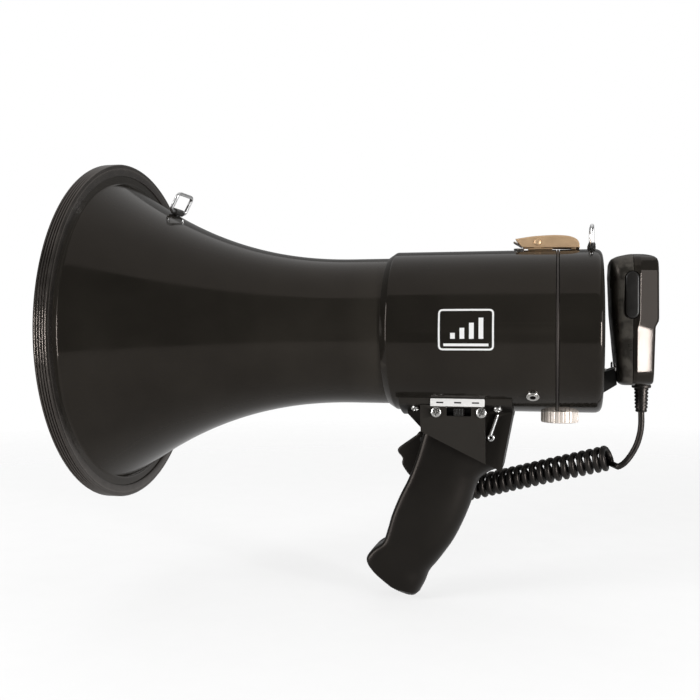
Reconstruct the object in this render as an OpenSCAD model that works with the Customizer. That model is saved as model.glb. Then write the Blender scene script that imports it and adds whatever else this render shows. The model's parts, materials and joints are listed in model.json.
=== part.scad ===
// Handheld megaphone: folded horn, battery body, pistol grip and a fist microphone on a curly cord.
// The horn points towards -X, Z is up, and the origin is the centre of the palm on the grip.
// Shapes are drawn on the horn axis, with x = 0 at the seam between the body and its rear cap.

/* [Horn] */
// Diameter over the rim gasket
bell_d = 230; // [226:1:232]
// Width of the rim gasket along the axis
rim_w = 8; // [7.5:0.5:9]
// Length of the flared stretch of the bell
flare_len = 162; // [160:1:164]
// Outside diameter of the throat
throat_d = 95; // [94.8:0.1:95.2]
// Wall of the bell
bell_wall = 2.2; // [2:0.1:2.3]

/* [Body] */
// Diameter of the body and the cap
body_d = 102.6; // [102:0.2:103]
// Length of the body from its front edge to the seam
body_len = 106; // [105.5:0.5:107]
// Length of the rear cap behind the seam
cap_len = 27; // [26.5:0.5:27.5]
// Wall of the body and the cap
shell_wall = 2.4; // [2.2:0.1:2.5]

/* [Grip] */
// Height of the horn axis above the palm
grip_drop = 120; // [118:1:122]
// Distance of the palm ahead of the seam
grip_setback = 80; // [79:0.5:81]
// Width of the grip across both shells
grip_w = 34; // [32:1:36]
// Width of the saddle across its cheeks
saddle_w = 60; // [59:0.5:61]

/* [Controls] */
// Diameter of the volume knob
knob_d = 23.4; // [21:0.2:24]
// Radius of the auxiliary jack's bore
jack_bore_r = 1.8; // [1.75:0.05:1.9]
// Travel of the slide knob each way
switch_travel = 4; // [3:0.5:4]

/* [Microphone] */
// Width of the microphone
mic_w = 58; // [56:1:60]

/* [Cord] */
// Diameter of the cord
cord_d = 3.8; // [3.4:0.1:4]
// Outside diameter of the curly stretch
coil_d = 16.2; // [15:0.2:16.4]

/* [Hidden] */
$fn = 48;

bell_r = bell_d / 2;
throat_r = throat_d / 2;
throat_in = throat_r - bell_wall;
body_r = body_d / 2;
body_in = body_r - shell_wall;
saddle_y = saddle_w / 2;
grip_y = grip_w / 2;
cord_r = cord_d / 2;
fit = 0.05;       // radial clearance of a pin, shaft or screw in its hole
gap = 0.3;        // air between pieces that move past each other

// Stations along the horn axis
front_x = -body_len;
bulkhead_x = front_x + 6.5;
bulkhead_t = 2.5;
flare_x = front_x - 24;
flange_x = flare_x - flare_len;
flange_t = 2;
rim_x = flange_x - rim_w;
driver_x = flare_x - 1;
seal_x = 1;
cap_x = cap_len;

// Outside of the bell: a power curve from the throat to the flange
flange_r = throat_r + 54.5;
flare_steps = 12;
function flare_r(x) = throat_r + (flange_r - throat_r) * pow((flare_x - x) / flare_len, 2.18);
function flare_line(wall) =
    [for (i = [0:flare_steps]) let (x = flare_x - flare_len * i / flare_steps) [flare_r(x) - wall, x]];
function backwards(line) = [for (i = [len(line) - 1:-1:0]) line[i]];
// Points on a round corner about [r, x], from one angle to another
function corner(r, x, size, from, to) =
    [for (i = [0:4]) let (a = from + (to - from) * i / 4) [r + size * cos(a), x + size * sin(a)]];

// A smooth curve through hand-placed points, closed or open
function blend_of(a, b, c, d, t) =
    0.5 * (2 * b + (c - a) * t + (2 * a - 5 * b + 4 * c - d) * t * t + (3 * b - a - 3 * c + d) * t * t * t);
function loop_at(p, i) = p[(i + len(p)) % len(p)];
function open_at(p, i) = p[max(0, min(len(p) - 1, i))];
function smooth_loop(p, steps) =
    [for (i = [0:len(p) - 1], k = [0:steps - 1])
        blend_of(loop_at(p, i - 1), p[i], loop_at(p, i + 1), loop_at(p, i + 2), k / steps)];
function smooth_path(p, steps) = concat(
    [for (i = [0:len(p) - 2], k = [0:steps - 1])
        blend_of(open_at(p, i - 1), p[i], open_at(p, i + 1), open_at(p, i + 2), k / steps)],
    [p[len(p) - 1]]);

// Every piece is placed so that the palm is at the origin
module placed() translate([grip_setback, 0, grip_drop]) children();
// A shape turned about the horn axis, from [radius, x] points
module turned(outline) rotate([0, 90, 0]) rotate_extrude() polygon(outline);
// A ring and a disc about the horn axis
module ring(r_out, r_in, x0, x1) turned([[r_in, x0], [r_out, x0], [r_out, x1], [r_in, x1]]);
module disc(r, x0, x1) translate([x0, 0, 0]) rotate([0, 90, 0]) cylinder(r = r, h = x1 - x0);
// Copies round the horn axis, at a distance from it
module around(count, radius, start = 0)
    for (i = [0:count - 1]) rotate([start + 360 * i / count, 0, 0]) translate([0, 0, radius]) children();
// A side view outline in [x, z], given a width in y
module side_plate(outline, y0, y1)
    translate([0, y1, 0]) rotate([90, 0, 0]) linear_extrude(y1 - y0) polygon(outline);
// A box from its lowest to its highest corner
module box(low, high) translate(low) cube(high - low);
// A rod along y
module cross_rod(x, z, r, y0, y1) translate([x, y1, z]) rotate([90, 0, 0]) cylinder(r = r, h = y1 - y0);
// A straight rod between two points
module rod(a, b, r) {
    d = b - a;
    translate(a) rotate([0, acos(d[2] / norm(d)), atan2(d[1], d[0])]) cylinder(r = r, h = norm(d));
}
// A bent wire through points, with ball joints at its corners
module wire(points, r) {
    for (i = [0:len(points) - 2]) rod(points[i], points[i + 1], r);
    for (i = [1:len(points) - 2]) translate(points[i]) sphere(r = r);
}
// A tube swept along a path, with flat ends
function heading(path, i) = let (d = open_at(path, i + 1) - open_at(path, i - 1)) d / norm(d);
function across(h) = let (u = cross(h, [0.2, 1, 0.1])) u / norm(u);
module swept_tube(path, r, sides) {
    points = [for (i = [0:len(path) - 1])
        let (h = heading(path, i), u = across(h), v = cross(h, u))
        for (k = [0:sides - 1]) path[i] + r * (u * cos(360 * k / sides) + v * sin(360 * k / sides))];
    walls = [for (i = [0:len(path) - 2], k = [0:sides - 1])
        let (a = i * sides + k, b = i * sides + (k + 1) % sides) [a, a + sides, b + sides, b]];
    first = [for (k = [0:sides - 1]) k];
    last = [for (k = [sides - 1:-1:0]) (len(path) - 1) * sides + k];
    polyhedron(points = points, faces = concat(walls, [first, last]));
}

// ---- Horn ----
screw_ring_r = 39.5;
module horn_screw_holes() around(4, screw_ring_r)
    translate([driver_x + 19, 0, 0]) rotate([0, 90, 0]) cylinder(r = 1.5 + fit, h = 20);

module bell() color("#1c1a19") placed() difference() {
    turned(concat(
        [[throat_r, bulkhead_x]],
        flare_line(0),
        [[bell_r - 3, flange_x], [bell_r - 3, flange_x - flange_t], [flange_r - 0.8, flange_x - flange_t]],
        backwards(flare_line(bell_wall)),
        [[throat_in, bulkhead_x - 3], [36, bulkhead_x - 3], [36, bulkhead_x]]));
    horn_screw_holes();
}

rib_pitch = 1.6;
module bell_rim_gasket() color("#151515") placed() turned(concat(
    [[bell_r - 3, flange_x - flange_t], [bell_r - 3, flange_x], [bell_r - 8, flange_x],
     [bell_r - 8, flange_x + 1]],
    [for (x = [flange_x + 1:-rib_pitch:rim_x + 1.5]) each [[bell_r, x], [bell_r - 0.8, x - rib_pitch / 2]]],
    [[bell_r - 1.5, rim_x], [bell_r - 8, rim_x], [bell_r - 9, rim_x + 1],
     [bell_r - 9, flange_x - flange_t]]));

tube_front_x = driver_x - 94;
tube_room = [[0, driver_x - 3], [14.6, driver_x - 3], [18.1, tube_front_x], [0, tube_front_x]];
module throat_tube() color("#2b2b2b") placed() turned(
    [[11, driver_x], [24, driver_x], [24, driver_x - 3], [14.5, driver_x - 3], [18, tube_front_x],
     [15.5, tube_front_x]]);

cup_lip_x = driver_x - 19;
cup_nose_x = driver_x - 114;
function cup_side(wall) = [[30 - wall, cup_lip_x], [34 - wall, cup_lip_x - 40], [40 - wall, cup_lip_x - 75]];
function cup_nose(wall) =
    [for (a = [0:15:90]) [(44 - wall) * cos(a), cup_nose_x - (19 - wall) * sin(a)]];
module reflector_cup() color("#232120") placed()
    turned(concat(cup_side(0), cup_nose(0), backwards(cup_nose(2)), backwards(cup_side(2))));

spider_x = cup_lip_x - 50;
module reflector_spider() color("#2b2b2b") placed() difference() {
    intersection() {
        union() {
            disc(20.5, spider_x - 5, spider_x + 5);
            for (a = [0:120:240]) rotate([a, 0, 0]) box([spider_x - 5, -1.25, 0], [spider_x + 5, 1.25, 45]);
        }
        turned(concat([[0, cup_lip_x]], cup_side(2), [[0, cup_lip_x - 75]]));
    }
    turned(tube_room);
}

basket_r = throat_in - 0.1;
module driver_basket() color("#3a3a3c") placed() difference() {
    union() {
        ring(basket_r, 11.6, driver_x, driver_x + 2);
        ring(basket_r, 34.5, driver_x + 2, driver_x + 4);
        ring(basket_r, 43, driver_x + 4, bulkhead_x - 3);
        around(4, screw_ring_r) translate([driver_x + 17, 0, 0]) rotate([0, 90, 0])
            cylinder(r = 3.6, h = bulkhead_x - 3 - driver_x - 17);
    }
    horn_screw_holes();
}
module driver_diaphragm() color("#c9b079") placed() turned(
    [[13.4, driver_x + 2.8], [34, driver_x + 2.8], [34, driver_x + 4], [32, driver_x + 4],
     [32, driver_x + 3.2], [12.4, driver_x + 3.2], [8, driver_x + 1.4], [0, driver_x + 0.8],
     [0, driver_x + 0.4], [8.2, driver_x + 1]]);
module voice_coil() color("#b87333") placed() ring(13.2, 12.8, driver_x + 3.2, driver_x + 11.5);
module driver_top_plate() color("#8d9092") placed() ring(34, 13.6, driver_x + 4, driver_x + 8);
module driver_magnet() color("#303034") placed() ring(34, 18, driver_x + 8, driver_x + 22);
module driver_back_plate() color("#8d9092") placed() union() {
    disc(34, driver_x + 22, driver_x + 26);
    disc(12.4, driver_x + 4, driver_x + 22.5);
}
module horn_screws() color("#b9bcc0") placed() around(4, screw_ring_r) rotate([0, 90, 0]) {
    translate([0, 0, driver_x + 20]) cylinder(r = 1.5, h = bulkhead_x + bulkhead_t - driver_x - 20);
    translate([0, 0, bulkhead_x + bulkhead_t]) cylinder(r = 3, h = 2);
}

// ---- Body and electronics ----
knob_x = 1.5;
knob_boss_r = 13.2;
knob_seat = body_r - 1.5;
board_x = front_x + 18;
module post_places() around(3, 38, 45) children();
module knob_recess() translate([knob_x, 0, -body_r - 9]) cylinder(r = knob_boss_r + gap, h = 30);
// Looking outwards along the jack, on the near side below the middle
jack_x = -14.4;
module at_jack() translate([jack_x, 0, 0]) rotate([139, 0, 0]) children();

module body_shell() color("#1c1a19") placed() difference() {
    union() {
        turned([[throat_r + 0.8, front_x], [body_r, front_x + 4.5], [body_r, -seal_x], [body_in, -seal_x],
            [body_in, bulkhead_x + bulkhead_t], [20, bulkhead_x + bulkhead_t], [20, bulkhead_x],
            [throat_r + fit, bulkhead_x], [throat_r + fit, front_x]]);
        intersection() {
            ring(body_r, body_in, -14, 17);
            translate([knob_x, 0, -body_r - 9]) cylinder(r = knob_boss_r, h = 30);
        }
        post_places() translate([bulkhead_x + 1, 0, 0]) rotate([0, 90, 0])
            cylinder(r = 3, h = board_x - bulkhead_x - 1);
    }
    horn_screw_holes();
    at_jack() cylinder(r = 3 + fit, h = 70);
    translate([knob_x, 0, -70]) cylinder(r = 3.5 + fit, h = 40);
    translate([knob_x, 0, -knob_seat - 9]) cylinder(r = knob_d / 2 + 0.4, h = 9);
}
module amplifier_board() color("#2f6b3a") placed() disc(body_in - 4, board_x, board_x + 1.6);
module amplifier_parts() color("#a7abb0") placed() {
    for (z = [-12:4:12]) box([board_x - 7, -18, z - 0.6], [board_x - 1.5, 18, z + 0.6]);
    box([board_x - 1.5, -18, -13], [board_x, 18, 13]);
    for (p = [[22, 12], [22, -6], [30, 3]])
        translate([board_x + 1.6, p[0], p[1]]) rotate([0, 90, 0]) cylinder(r = 4, h = 7);
    for (p = [[-24, 8], [-24, -12]])
        translate([board_x + 1.6, p[0], p[1]]) rotate([0, 90, 0]) cylinder(r = 6.3, h = 7.4);
    for (z = [-20, 16]) box([board_x + 1.6, -8, z], [board_x + 4, 8, z + 8]);
}
cell_x0 = front_x + 30;
cell_x1 = cell_x0 + 50;
cell_ring_r = 34.2;
module battery_carrier() color("#4a4a4c") placed() {
    ring(body_in - 0.8, 12, cell_x0 - 2, cell_x0);
    ring(20.5, 17, cell_x0, cell_x1);
    ring(body_in - 0.8, 12, cell_x1, cell_x1 + 2);
}
module battery_cells() color("#b08a3c") placed() around(8, cell_ring_r) rotate([0, 90, 0]) {
    translate([0, 0, cell_x0 + 0.6]) cylinder(r = 13, h = 47.4);
    translate([0, 0, cell_x0 + 48]) cylinder(r = 3.2, h = 1.4);
}
module battery_contacts() color("#c7c9cc") placed() around(8, cell_ring_r) rotate([0, 90, 0]) {
    translate([0, 0, cell_x0]) cylinder(r = 5, h = 0.6);
    translate([0, 0, cell_x1 - 0.6]) cylinder(r = 5, h = 0.6);
}
module rear_cap() color("#1c1a19") placed() difference() {
    turned(concat([[body_r, seal_x]], corner(body_r - 5, cap_x - 5, 5, 0, 90),
        [[0, cap_x], [0, cap_x - 2.5], [body_r - 6, cap_x - 2.5], [body_in, cap_x - 5], [body_in, seal_x + 3],
         [body_in - 2.2, seal_x + 3], [body_in - 2.2, -6], [body_in - 0.1, -6], [body_in - 0.1, seal_x]]));
    knob_recess();
}
module cap_seal() color("#0e0e0e") placed() difference() {
    ring(body_r - 0.3, body_in, -seal_x, seal_x);
    knob_recess();
}
module volume_pot() color("#9ea2a6") placed() translate([knob_x, 0, 0]) difference() {
    union() {
        translate([0, 0, -47.8]) cylinder(r = 8, h = 9);
        translate([0, 0, -knob_seat]) cylinder(r = 3.5, h = knob_seat - 47.8);
    }
    translate([0, 0, -knob_seat - 1]) cylinder(r = 3 + fit, h = 8.5);
}
knob_h = 7.6;
module volume_knob() color("#cfc6b6") placed() translate([knob_x, 0, -knob_seat - gap]) difference() {
    union() {
        translate([0, 0, -knob_h]) cylinder(r = knob_d / 2, h = knob_h);
        cylinder(r = 3, h = 7);
    }
    for (a = [0:15:345])
        rotate([0, 0, a]) translate([knob_d / 2 + 0.2, 0, -knob_h - 1]) cylinder(r = 0.8, h = knob_h + 2);
}
module aux_jack() color("#b9bcc0") placed() at_jack() difference() {
    union() {
        translate([0, 0, 36]) cylinder(r = 5, h = 12.5);
        cylinder(r = 3, h = body_r + 2);
    }
    translate([0, 0, body_r - 12]) cylinder(r = jack_bore_r, h = 20);
    translate([0, 0, -1]) cylinder(r = 3.1, h = 37);
}
module aux_jack_nut() color("#c9ccd0") placed() at_jack() difference() {
    translate([0, 0, body_r]) cylinder(r = 4, h = 1.6);
    cylinder(r = 3 + fit, h = 70);
}

// ---- Latch over the seam ----
latch_x = -12.6;
latch_z = body_r + 4.6;
module latch_base() color("#b89a5c") placed() difference() {
    union() {
        box([latch_x - 6, -6.4, body_r], [latch_x + 9, 6.4, body_r + 1]);
        for (y = [-6.4, 5.2]) {
            box([latch_x - 2.2, y, body_r], [latch_x + 2.2, y + 1.2, latch_z]);
            cross_rod(latch_x, latch_z, 2.2, y, y + 1.2);
        }
    }
    cross_rod(latch_x, latch_z, 1.2 + fit, -8, 8);
}
latch_arch = [
    [-22, 53], [-26.3, 58.2], [-21, 59], [-14, 59.8], [-3, 60.2], [5, 59.6], [9, 58.6], [12, 56.8],
    [13.3, 54], [13.3, 52.1], [-10, 52.6]];
latch_hollow = [
    [-30, 50], [-30, 56.8], [-26, 56.9], [-20, 57.8], [-13, 58.5], [-3, 58.9], [5, 58.3], [8.3, 57.4],
    [10.8, 55.8], [11.9, 53.6], [11.9, 50]];
module latch_lever() color("#c8a766") placed() difference() {
    side_plate(latch_arch, -8, 8);
    side_plate(latch_hollow, -6.8, 6.8);
    cross_rod(latch_x, latch_z, 1.2 + fit, -9, 9);
}
module latch_pin() color("#efe2bd") placed() {
    cross_rod(latch_x, latch_z, 1.2, -8.1, 8.1);
    for (y = [-9, 8.1]) cross_rod(latch_x, latch_z, 2.2, y, y + 0.9);
}
module latch_spring() color("#d5d7da") placed() for (y = [-3, 3])
    wire([[-27.4, y, body_r + 0.65], [-21.8, y, body_r + 0.7], [-27.6, y, body_r + 5.4]], 0.6);
module latch_keeper() color("#b89a5c") placed() box([8.2, -5, body_r], [11, 5, body_r + 1.2]);

// ---- Strap rings ----
ring_wire_r = 1.2;
// Placed on the surface where a ring stands, leaning by an angle
module at_front_ring() translate([-258.5, 0, flare_r(-258.5)]) rotate([0, 28, 0]) children();
module at_rear_ring() translate([20.5, 0, body_r]) children();
ring_hinge_z = 2.2;
module ring_bracket() difference() {
    union() {
        translate([0, 0, -1]) cylinder(r = 2.6, h = 3);
        cross_rod(0, ring_hinge_z, 2.3, -6.5, 6.5);
    }
    cross_rod(0, ring_hinge_z, ring_wire_r + fit, -7.5, 7.5);
}
module strap_ring(height) translate([0, 0, ring_hinge_z]) wire(
    [[0, 0, 0], [0, 9, 0], [0, 12, 2.5], [0, 12, height - 3], [0, 9, height],
     [0, -9, height], [0, -12, height - 3], [0, -12, 2.5], [0, -9, 0], [0, 0, 0]], ring_wire_r);
module front_ring_bracket() color("#211e1c") placed() difference() {
    at_front_ring() ring_bracket();
    turned(concat([[0, flare_x]], flare_line(0), [[0, flange_x]]));
}
module front_strap_ring() color("#d9dbde") placed() at_front_ring() strap_ring(12.8);
module rear_ring_bracket() color("#211e1c") placed() difference() {
    at_rear_ring() ring_bracket();
    disc(body_r, -1, cap_x);
}
module rear_strap_ring() color("#d9dbde") placed() at_rear_ring() strap_ring(11.6);

// ---- Saddle and its switch ----
saddle_front_x = -83;
saddle_steps_x = [-83.4, -43.4];
// Line on which the saddle meets the grip
seat_front = [saddle_front_x, -63];
seat_rear = [-34, -88];
cheek = [[-93, -46], [-93, -52.5], seat_front, seat_rear, [-26, -46]];
module saddle_screw_places() for (x = [-87, -36], side = [-1, 1])
    translate([x, 0, 0]) rotate([180 - 27.5 * side, 0, 0]) translate([0, 0, body_r]) children();
slot_x = -59.4;
slot_z = -50;
module label_screw_places() for (x = [-73.4, -45.5])
    translate([x, -saddle_y, -50.3]) rotate([90, 0, 0]) children();
module saddle() color("#211e1c") placed() difference() {
    union() {
        intersection() {
            side_plate(cheek, -saddle_y, saddle_y);
            rotate([90, 0, 90]) translate([0, 0, -100]) linear_extrude(80) polygon([
                [-saddle_y, -40], [-saddle_y, -55], [-grip_y - 3, -90], [grip_y + 3, -90], [saddle_y, -55],
                [saddle_y, -40]]);
            union() {
                box([saddle_steps_x[0], -40, -90], [saddle_steps_x[1], 40, -36]);
                box([-100, -19, -90], [-20, 19, -36]);
            }
        }
        intersection() {
            ring(body_r + 3, body_r - 1, -97, -27);
            box([-97, -30, -60], [-27, 30, -36]);
        }
    }
    disc(body_r, -110, 0);
    intersection() {
        side_plate([[-88, -40], [-88, -51], [-81, -60], [-38, -82], [-31, -46], [-31, -40]], -16, 16);
        box([-90, -16, -86], [-30, 16, -40]);
    }
    box([slot_x - 10, -saddle_y + 2.5, slot_z - 3.6], [slot_x + 10, -15, slot_z + 3.6]);
    box([slot_x - 7.6, -saddle_y - 1, slot_z - 2.6], [slot_x + 7.6, -15, slot_z + 2.6]);
    label_screw_places() translate([0, 0, -8]) cylinder(r = 1.5 + fit, h = 12);
    saddle_screw_places() {
        cylinder(r = 1.5 + fit, h = 6);
        translate([0, 0, 3]) cylinder(r = 3.3, h = 12);
    }
    cross_rod(link_top[0], link_top[2], link_wire_r + fit, -21, -16);
}
module saddle_screws() color("#c9ccd0") placed() saddle_screw_places() {
    translate([0, 0, 0.1]) cylinder(r = 1.5, h = 3);
    translate([0, 0, 3]) cylinder(r = 2.8, h = 1.6);
}
module switch_label_plate() color("#e9e8e4") placed()
    box([-77, -saddle_y - 0.8, -46.6], [-43.5, -saddle_y, -41.8]);
module label_screws() color("#c9ccd0") placed() label_screw_places() {
    translate([0, 0, -7.8]) cylinder(r = 1.5, h = 7.8);
    cylinder(r = 3.3, h = 1.8);
}
module slide_switch() color("#6f7276") placed()
    box([slot_x - 9.8, -saddle_y + 6, slot_z - 3.4], [slot_x + 9.8, -saddle_y + 11, slot_z + 1.9]);
module slide_knob() color("#111111") placed()
    box([slot_x - 3, -saddle_y - 2, slot_z - 2.2], [slot_x + 3, -saddle_y + 5.8, slot_z + 2.2]);
link_top = [-36.4, -20.6, -52.5];
link_end = [-40.6, -20.6, -65];
link_wire_r = 1.1;
module strap_link() color("#d5d7da") placed() {
    rod(link_top, link_end, link_wire_r);
    translate(link_end + [0.2, 0, -1.5]) rotate([90, 0, 0])
        rotate_extrude() translate([1.6, 0]) circle(r = 0.8);
    rod(link_top, link_top + [0, 3.6, 0], link_wire_r);
    translate(link_top) sphere(r = link_wire_r);
}

// ---- Grip ----
grip_outline = smooth_loop([
    [-34.4, -87.6], [-41, -89.6], [-47.8, -94.2], [-51.5, -102], [-55.3, -113.5], [-61, -127],
    [-69.6, -141.7], [-81.1, -156.7], [-85.6, -168], [-90.5, -173.2], [-96.7, -172.1], [-104.5, -166.8],
    [-116, -157], [-121.4, -148.3], [-118, -142], [-110.4, -137], [-107, -128], [-104.5, -119.3],
    [-99.5, -107], [-94, -96], [-88, -80], [-83.6, -63.6], [-66, -71.2], [-50, -79.6]], 3);
// Keeps the grip below the seat on the saddle
grip_limit = [
    [-140, -20], seat_front + [-60, 28.2], seat_front, seat_rear, seat_rear + [20, -5], [0, -200],
    [-140, -200]];
trigger_room = [[-98, -60], [-80, -62], [-76, -76], [-80, -90], [-86, -97.5], [-110, -97.5], [-110, -70]];
grip_hollow = [
    [-75, -76], [-55, -86], [-54, -92], [-64, -118], [-76, -140], [-90, -156], [-104, -150], [-100, -128],
    [-88, -99], [-79, -94]];
grip_screw_spots = [[-60, -97], [-72, -124], [-98, -158]];
pin_spot = [-85.2, -70];
module grip_shape(y0, y1) intersection() {
    side_plate(grip_outline, y0, y1);
    side_plate(grip_limit, y0 - 1, y1 + 1);
}
module grip_half(y0, y1, w0, w1) difference() {
    grip_shape(y0, y1);
    side_plate(trigger_room, -8.4, 8.4);
    side_plate(grip_hollow, w0, w1);
    box([-82, -2.6, -88.6], [-73, 2.6, -83.4]);
    for (s = grip_screw_spots) cross_rod(s[0], s[1], 1.5 + fit, -14, 20);
    cross_rod(pin_spot[0], pin_spot[1], 1.5, -15, 15);
}
module grip_near_shell() color("#1c1a19") placed() grip_half(-grip_y, 0, -grip_y + 2.5, 1);
module grip_far_shell() color("#1c1a19") placed() difference() {
    grip_half(0, grip_y, -1, grip_y - 2.5);
    for (s = grip_screw_spots) cross_rod(s[0], s[1], 3.1, grip_y - 2, grip_y + 1);
    cross_rod(gland_x, -78, 4.5 + fit, grip_y - 3, grip_y + 1);
}
module grip_screws() color("#c9ccd0") placed() for (s = grip_screw_spots) {
    cross_rod(s[0], s[1], 1.5, -12, grip_y - 2);
    cross_rod(s[0], s[1], 3, grip_y - 2, grip_y);
}
trigger_outline = smooth_loop([
    [-87.2, -65.4], [-89.4, -67.6], [-95.3, -71.9], [-100.8, -76], [-101.2, -79], [-98.4, -82.6],
    [-98.6, -86.5], [-95.9, -91.2], [-92.5, -94.6], [-88.6, -93.6], [-84.6, -88], [-82, -78], [-81.8, -70],
    [-83.6, -66.2]], 3);
module trigger() color("#161514") placed() difference() {
    side_plate(trigger_outline, -8, 8);
    cross_rod(pin_spot[0], pin_spot[1], 1.5 + fit, -9, 9);
}
module trigger_pin() color("#c9ccd0") placed() cross_rod(pin_spot[0], pin_spot[1], 1.5, -15, 15);
module trigger_switch() color("#26282c") placed() box([-74, -3.2, -92], [-66, 3.2, -82]);
module trigger_spring() color("#b9bcc0") placed()
    translate([-82, 0, -86]) rotate([0, 90, 0]) cylinder(r = 2, h = 7.6);

// ---- Fist microphone ----
mic_y = mic_w / 2;
mic_split_x = 44;
mic_low_z = -33;
mic_shoulder_z = 43.3;
module mic_front_view() hull() {
    for (y = [-1, 1]) translate([y * (mic_y - 13), mic_shoulder_z - 9.5]) circle(r = 13, $fn = 32);
    for (y = [-1, 1]) translate([y * (mic_y - 12), mic_low_z + 10]) circle(r = 10, $fn = 32);
}
// The microphone's solid between two side view outlines, cut to its front view
module mic_solid(outline) intersection() {
    side_plate(outline, -mic_y, mic_y);
    translate([20, 0, 0]) rotate([90, 0, 90]) linear_extrude(50) mic_front_view();
}
mic_rear_outline = [
    [31.4, 43.4], [30.6, 34], [31.6, 10], [34, -15], [36, mic_low_z], [mic_split_x, mic_low_z],
    [mic_split_x, 47.2], [33, 44.8]];
mic_front_outline = [
    [mic_split_x, 47.2], [57, 45.6], [58.8, 43.6], [59.4, 6.6], [57.2, 2], [56.4, mic_low_z],
    [mic_split_x, mic_low_z]];
mic_rear_hollow = [[35, 40], [34.4, 10], [38, -30], [mic_split_x + 1, -30], [mic_split_x + 1, 42]];
mic_front_hollow = [
    [mic_split_x - 1, 42], [53, 42], [55.6, 36], [56.4, 8], [54, -2], [53.6, -30], [mic_split_x - 1, -30]];
button_z = 21.5;
module button_outline(grow) translate([0, 1, 0]) rotate([90, 0, 0]) {
    for (z = [-10, 10]) translate([0, z, 0]) cylinder(r = 4 + grow, h = 12);
    translate([-4 - grow, -10, 0]) cube([8 + 2 * grow, 20, 12]);
}
module at_button() translate([mic_split_x - 0.8, -mic_y + 9, button_z]) children();
module button_opening() at_button() button_outline(gap);
mic_screw_spots = [[-18, 28], [18, 28], [-18, -22], [18, -22]];
module mic_screw_places() for (s = mic_screw_spots) translate([0, s[0], s[1]]) rotate([0, 90, 0]) children();
module mic_bosses(x0, x1) for (s = mic_screw_spots)
    translate([x0, s[0], s[1]]) rotate([0, 90, 0]) cylinder(r = 3.2, h = x1 - x0);
mic_hollow_half = [[mic_y - 10, 42], [mic_y - 2.4, 30], [mic_y - 4.4, -24], [mic_y - 12, -30]];
module mic_hollow(outline) intersection() {
    side_plate(outline, -mic_y + 2.4, mic_y - 2.4);
    rotate([90, 0, 90]) linear_extrude(80)
        polygon(concat(mic_hollow_half, [for (p = backwards(mic_hollow_half)) [-p[0], p[1]]]));
}
stud_z = -27.2;
relief_x = 51;
module mic_rear_shell() color("#191716") placed() difference() {
    union() {
        difference() {
            mic_solid(mic_rear_outline);
            mic_hollow(mic_rear_hollow);
        }
        mic_bosses(33, mic_split_x);
    }
    button_opening();
    mic_screw_places() translate([0, 0, 20]) cylinder(r = 1.2 + fit, h = 30);
    mic_screw_places() translate([0, 0, 20]) cylinder(r = 2.6, h = 15);
    translate([20, 0, stud_z]) rotate([0, 90, 0]) cylinder(r = 2.4 + fit, h = 20);
}
module mic_front_shell() color("#1b1a1a") placed() difference() {
    union() {
        difference() {
            mic_solid(mic_front_outline);
            mic_hollow(mic_front_hollow);
        }
        mic_bosses(mic_split_x, 56.3);
    }
    button_opening();
    mic_screw_places() translate([0, 0, mic_split_x - 1]) cylinder(r = 1.2 + fit, h = 8);
    for (z = [14:5:34]) box([50, -14, z - 0.9], [65, 14, z + 0.9]);
    translate([relief_x, 0, -40]) cylinder(r = 4 + fit, h = 12);
}
module mic_screws() color("#b9bcc0") placed() mic_screw_places() {
    translate([0, 0, 35]) cylinder(r = 1.2, h = mic_split_x - 28.4);
    translate([0, 0, 33.6]) cylinder(r = 2.4, h = 1.4);
}
module mic_talk_button() color("#121212") placed() intersection() {
    at_button() button_outline(0);
    box([30, -mic_y - 0.6, 0], [60, -mic_y + 6, 50]);
}
module mic_talk_switch() color("#5b5e63") placed() box([40, -mic_y + 9, 14], [46, -mic_y + 17, 24]);
module mic_capsule() color("#a7abb0") placed()
    translate([46, 0, 22]) rotate([0, 90, 0]) cylinder(r = 11, h = 9);
module mic_stud() color("#b9bcc0") placed() translate([0, 0, stud_z]) rotate([0, 90, 0]) {
    translate([0, 0, 29.6]) cylinder(r = 2.4, h = 8.6);
    translate([0, 0, 28.2]) cylinder(r = 3.8, h = 1.6);
}
// Wedge on the cap with a stepped slot for the stud, open upwards
module mic_hanger() color("#1a1918") placed() difference() {
    side_plate([[cap_x, -25.5], [34.6, -22.8], [35.7, mic_low_z], [cap_x, -38.5]], -12, 12);
    for (cut = [[cap_x + 0.9, 3.1, 4.3], [cap_x + 3, 9, 2.9]]) {
        box([cut[0], -cut[2], stud_z], [cut[0] + cut[1], cut[2], -20]);
        translate([cut[0], 0, stud_z]) rotate([0, 90, 0]) cylinder(r = cut[2], h = cut[1]);
    }
}
module mic_strain_relief() color("#111111") placed() translate([relief_x, 0, 0]) {
    translate([0, 0, -34.6]) cylinder(r = 4, h = 5.4);
    translate([0, 0, -35.4]) cylinder(r = 5.8, h = 1.8);
    translate([0, 0, -50.4]) cylinder(r1 = 3.8, r2 = 4.2, h = 15.2);
}

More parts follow.
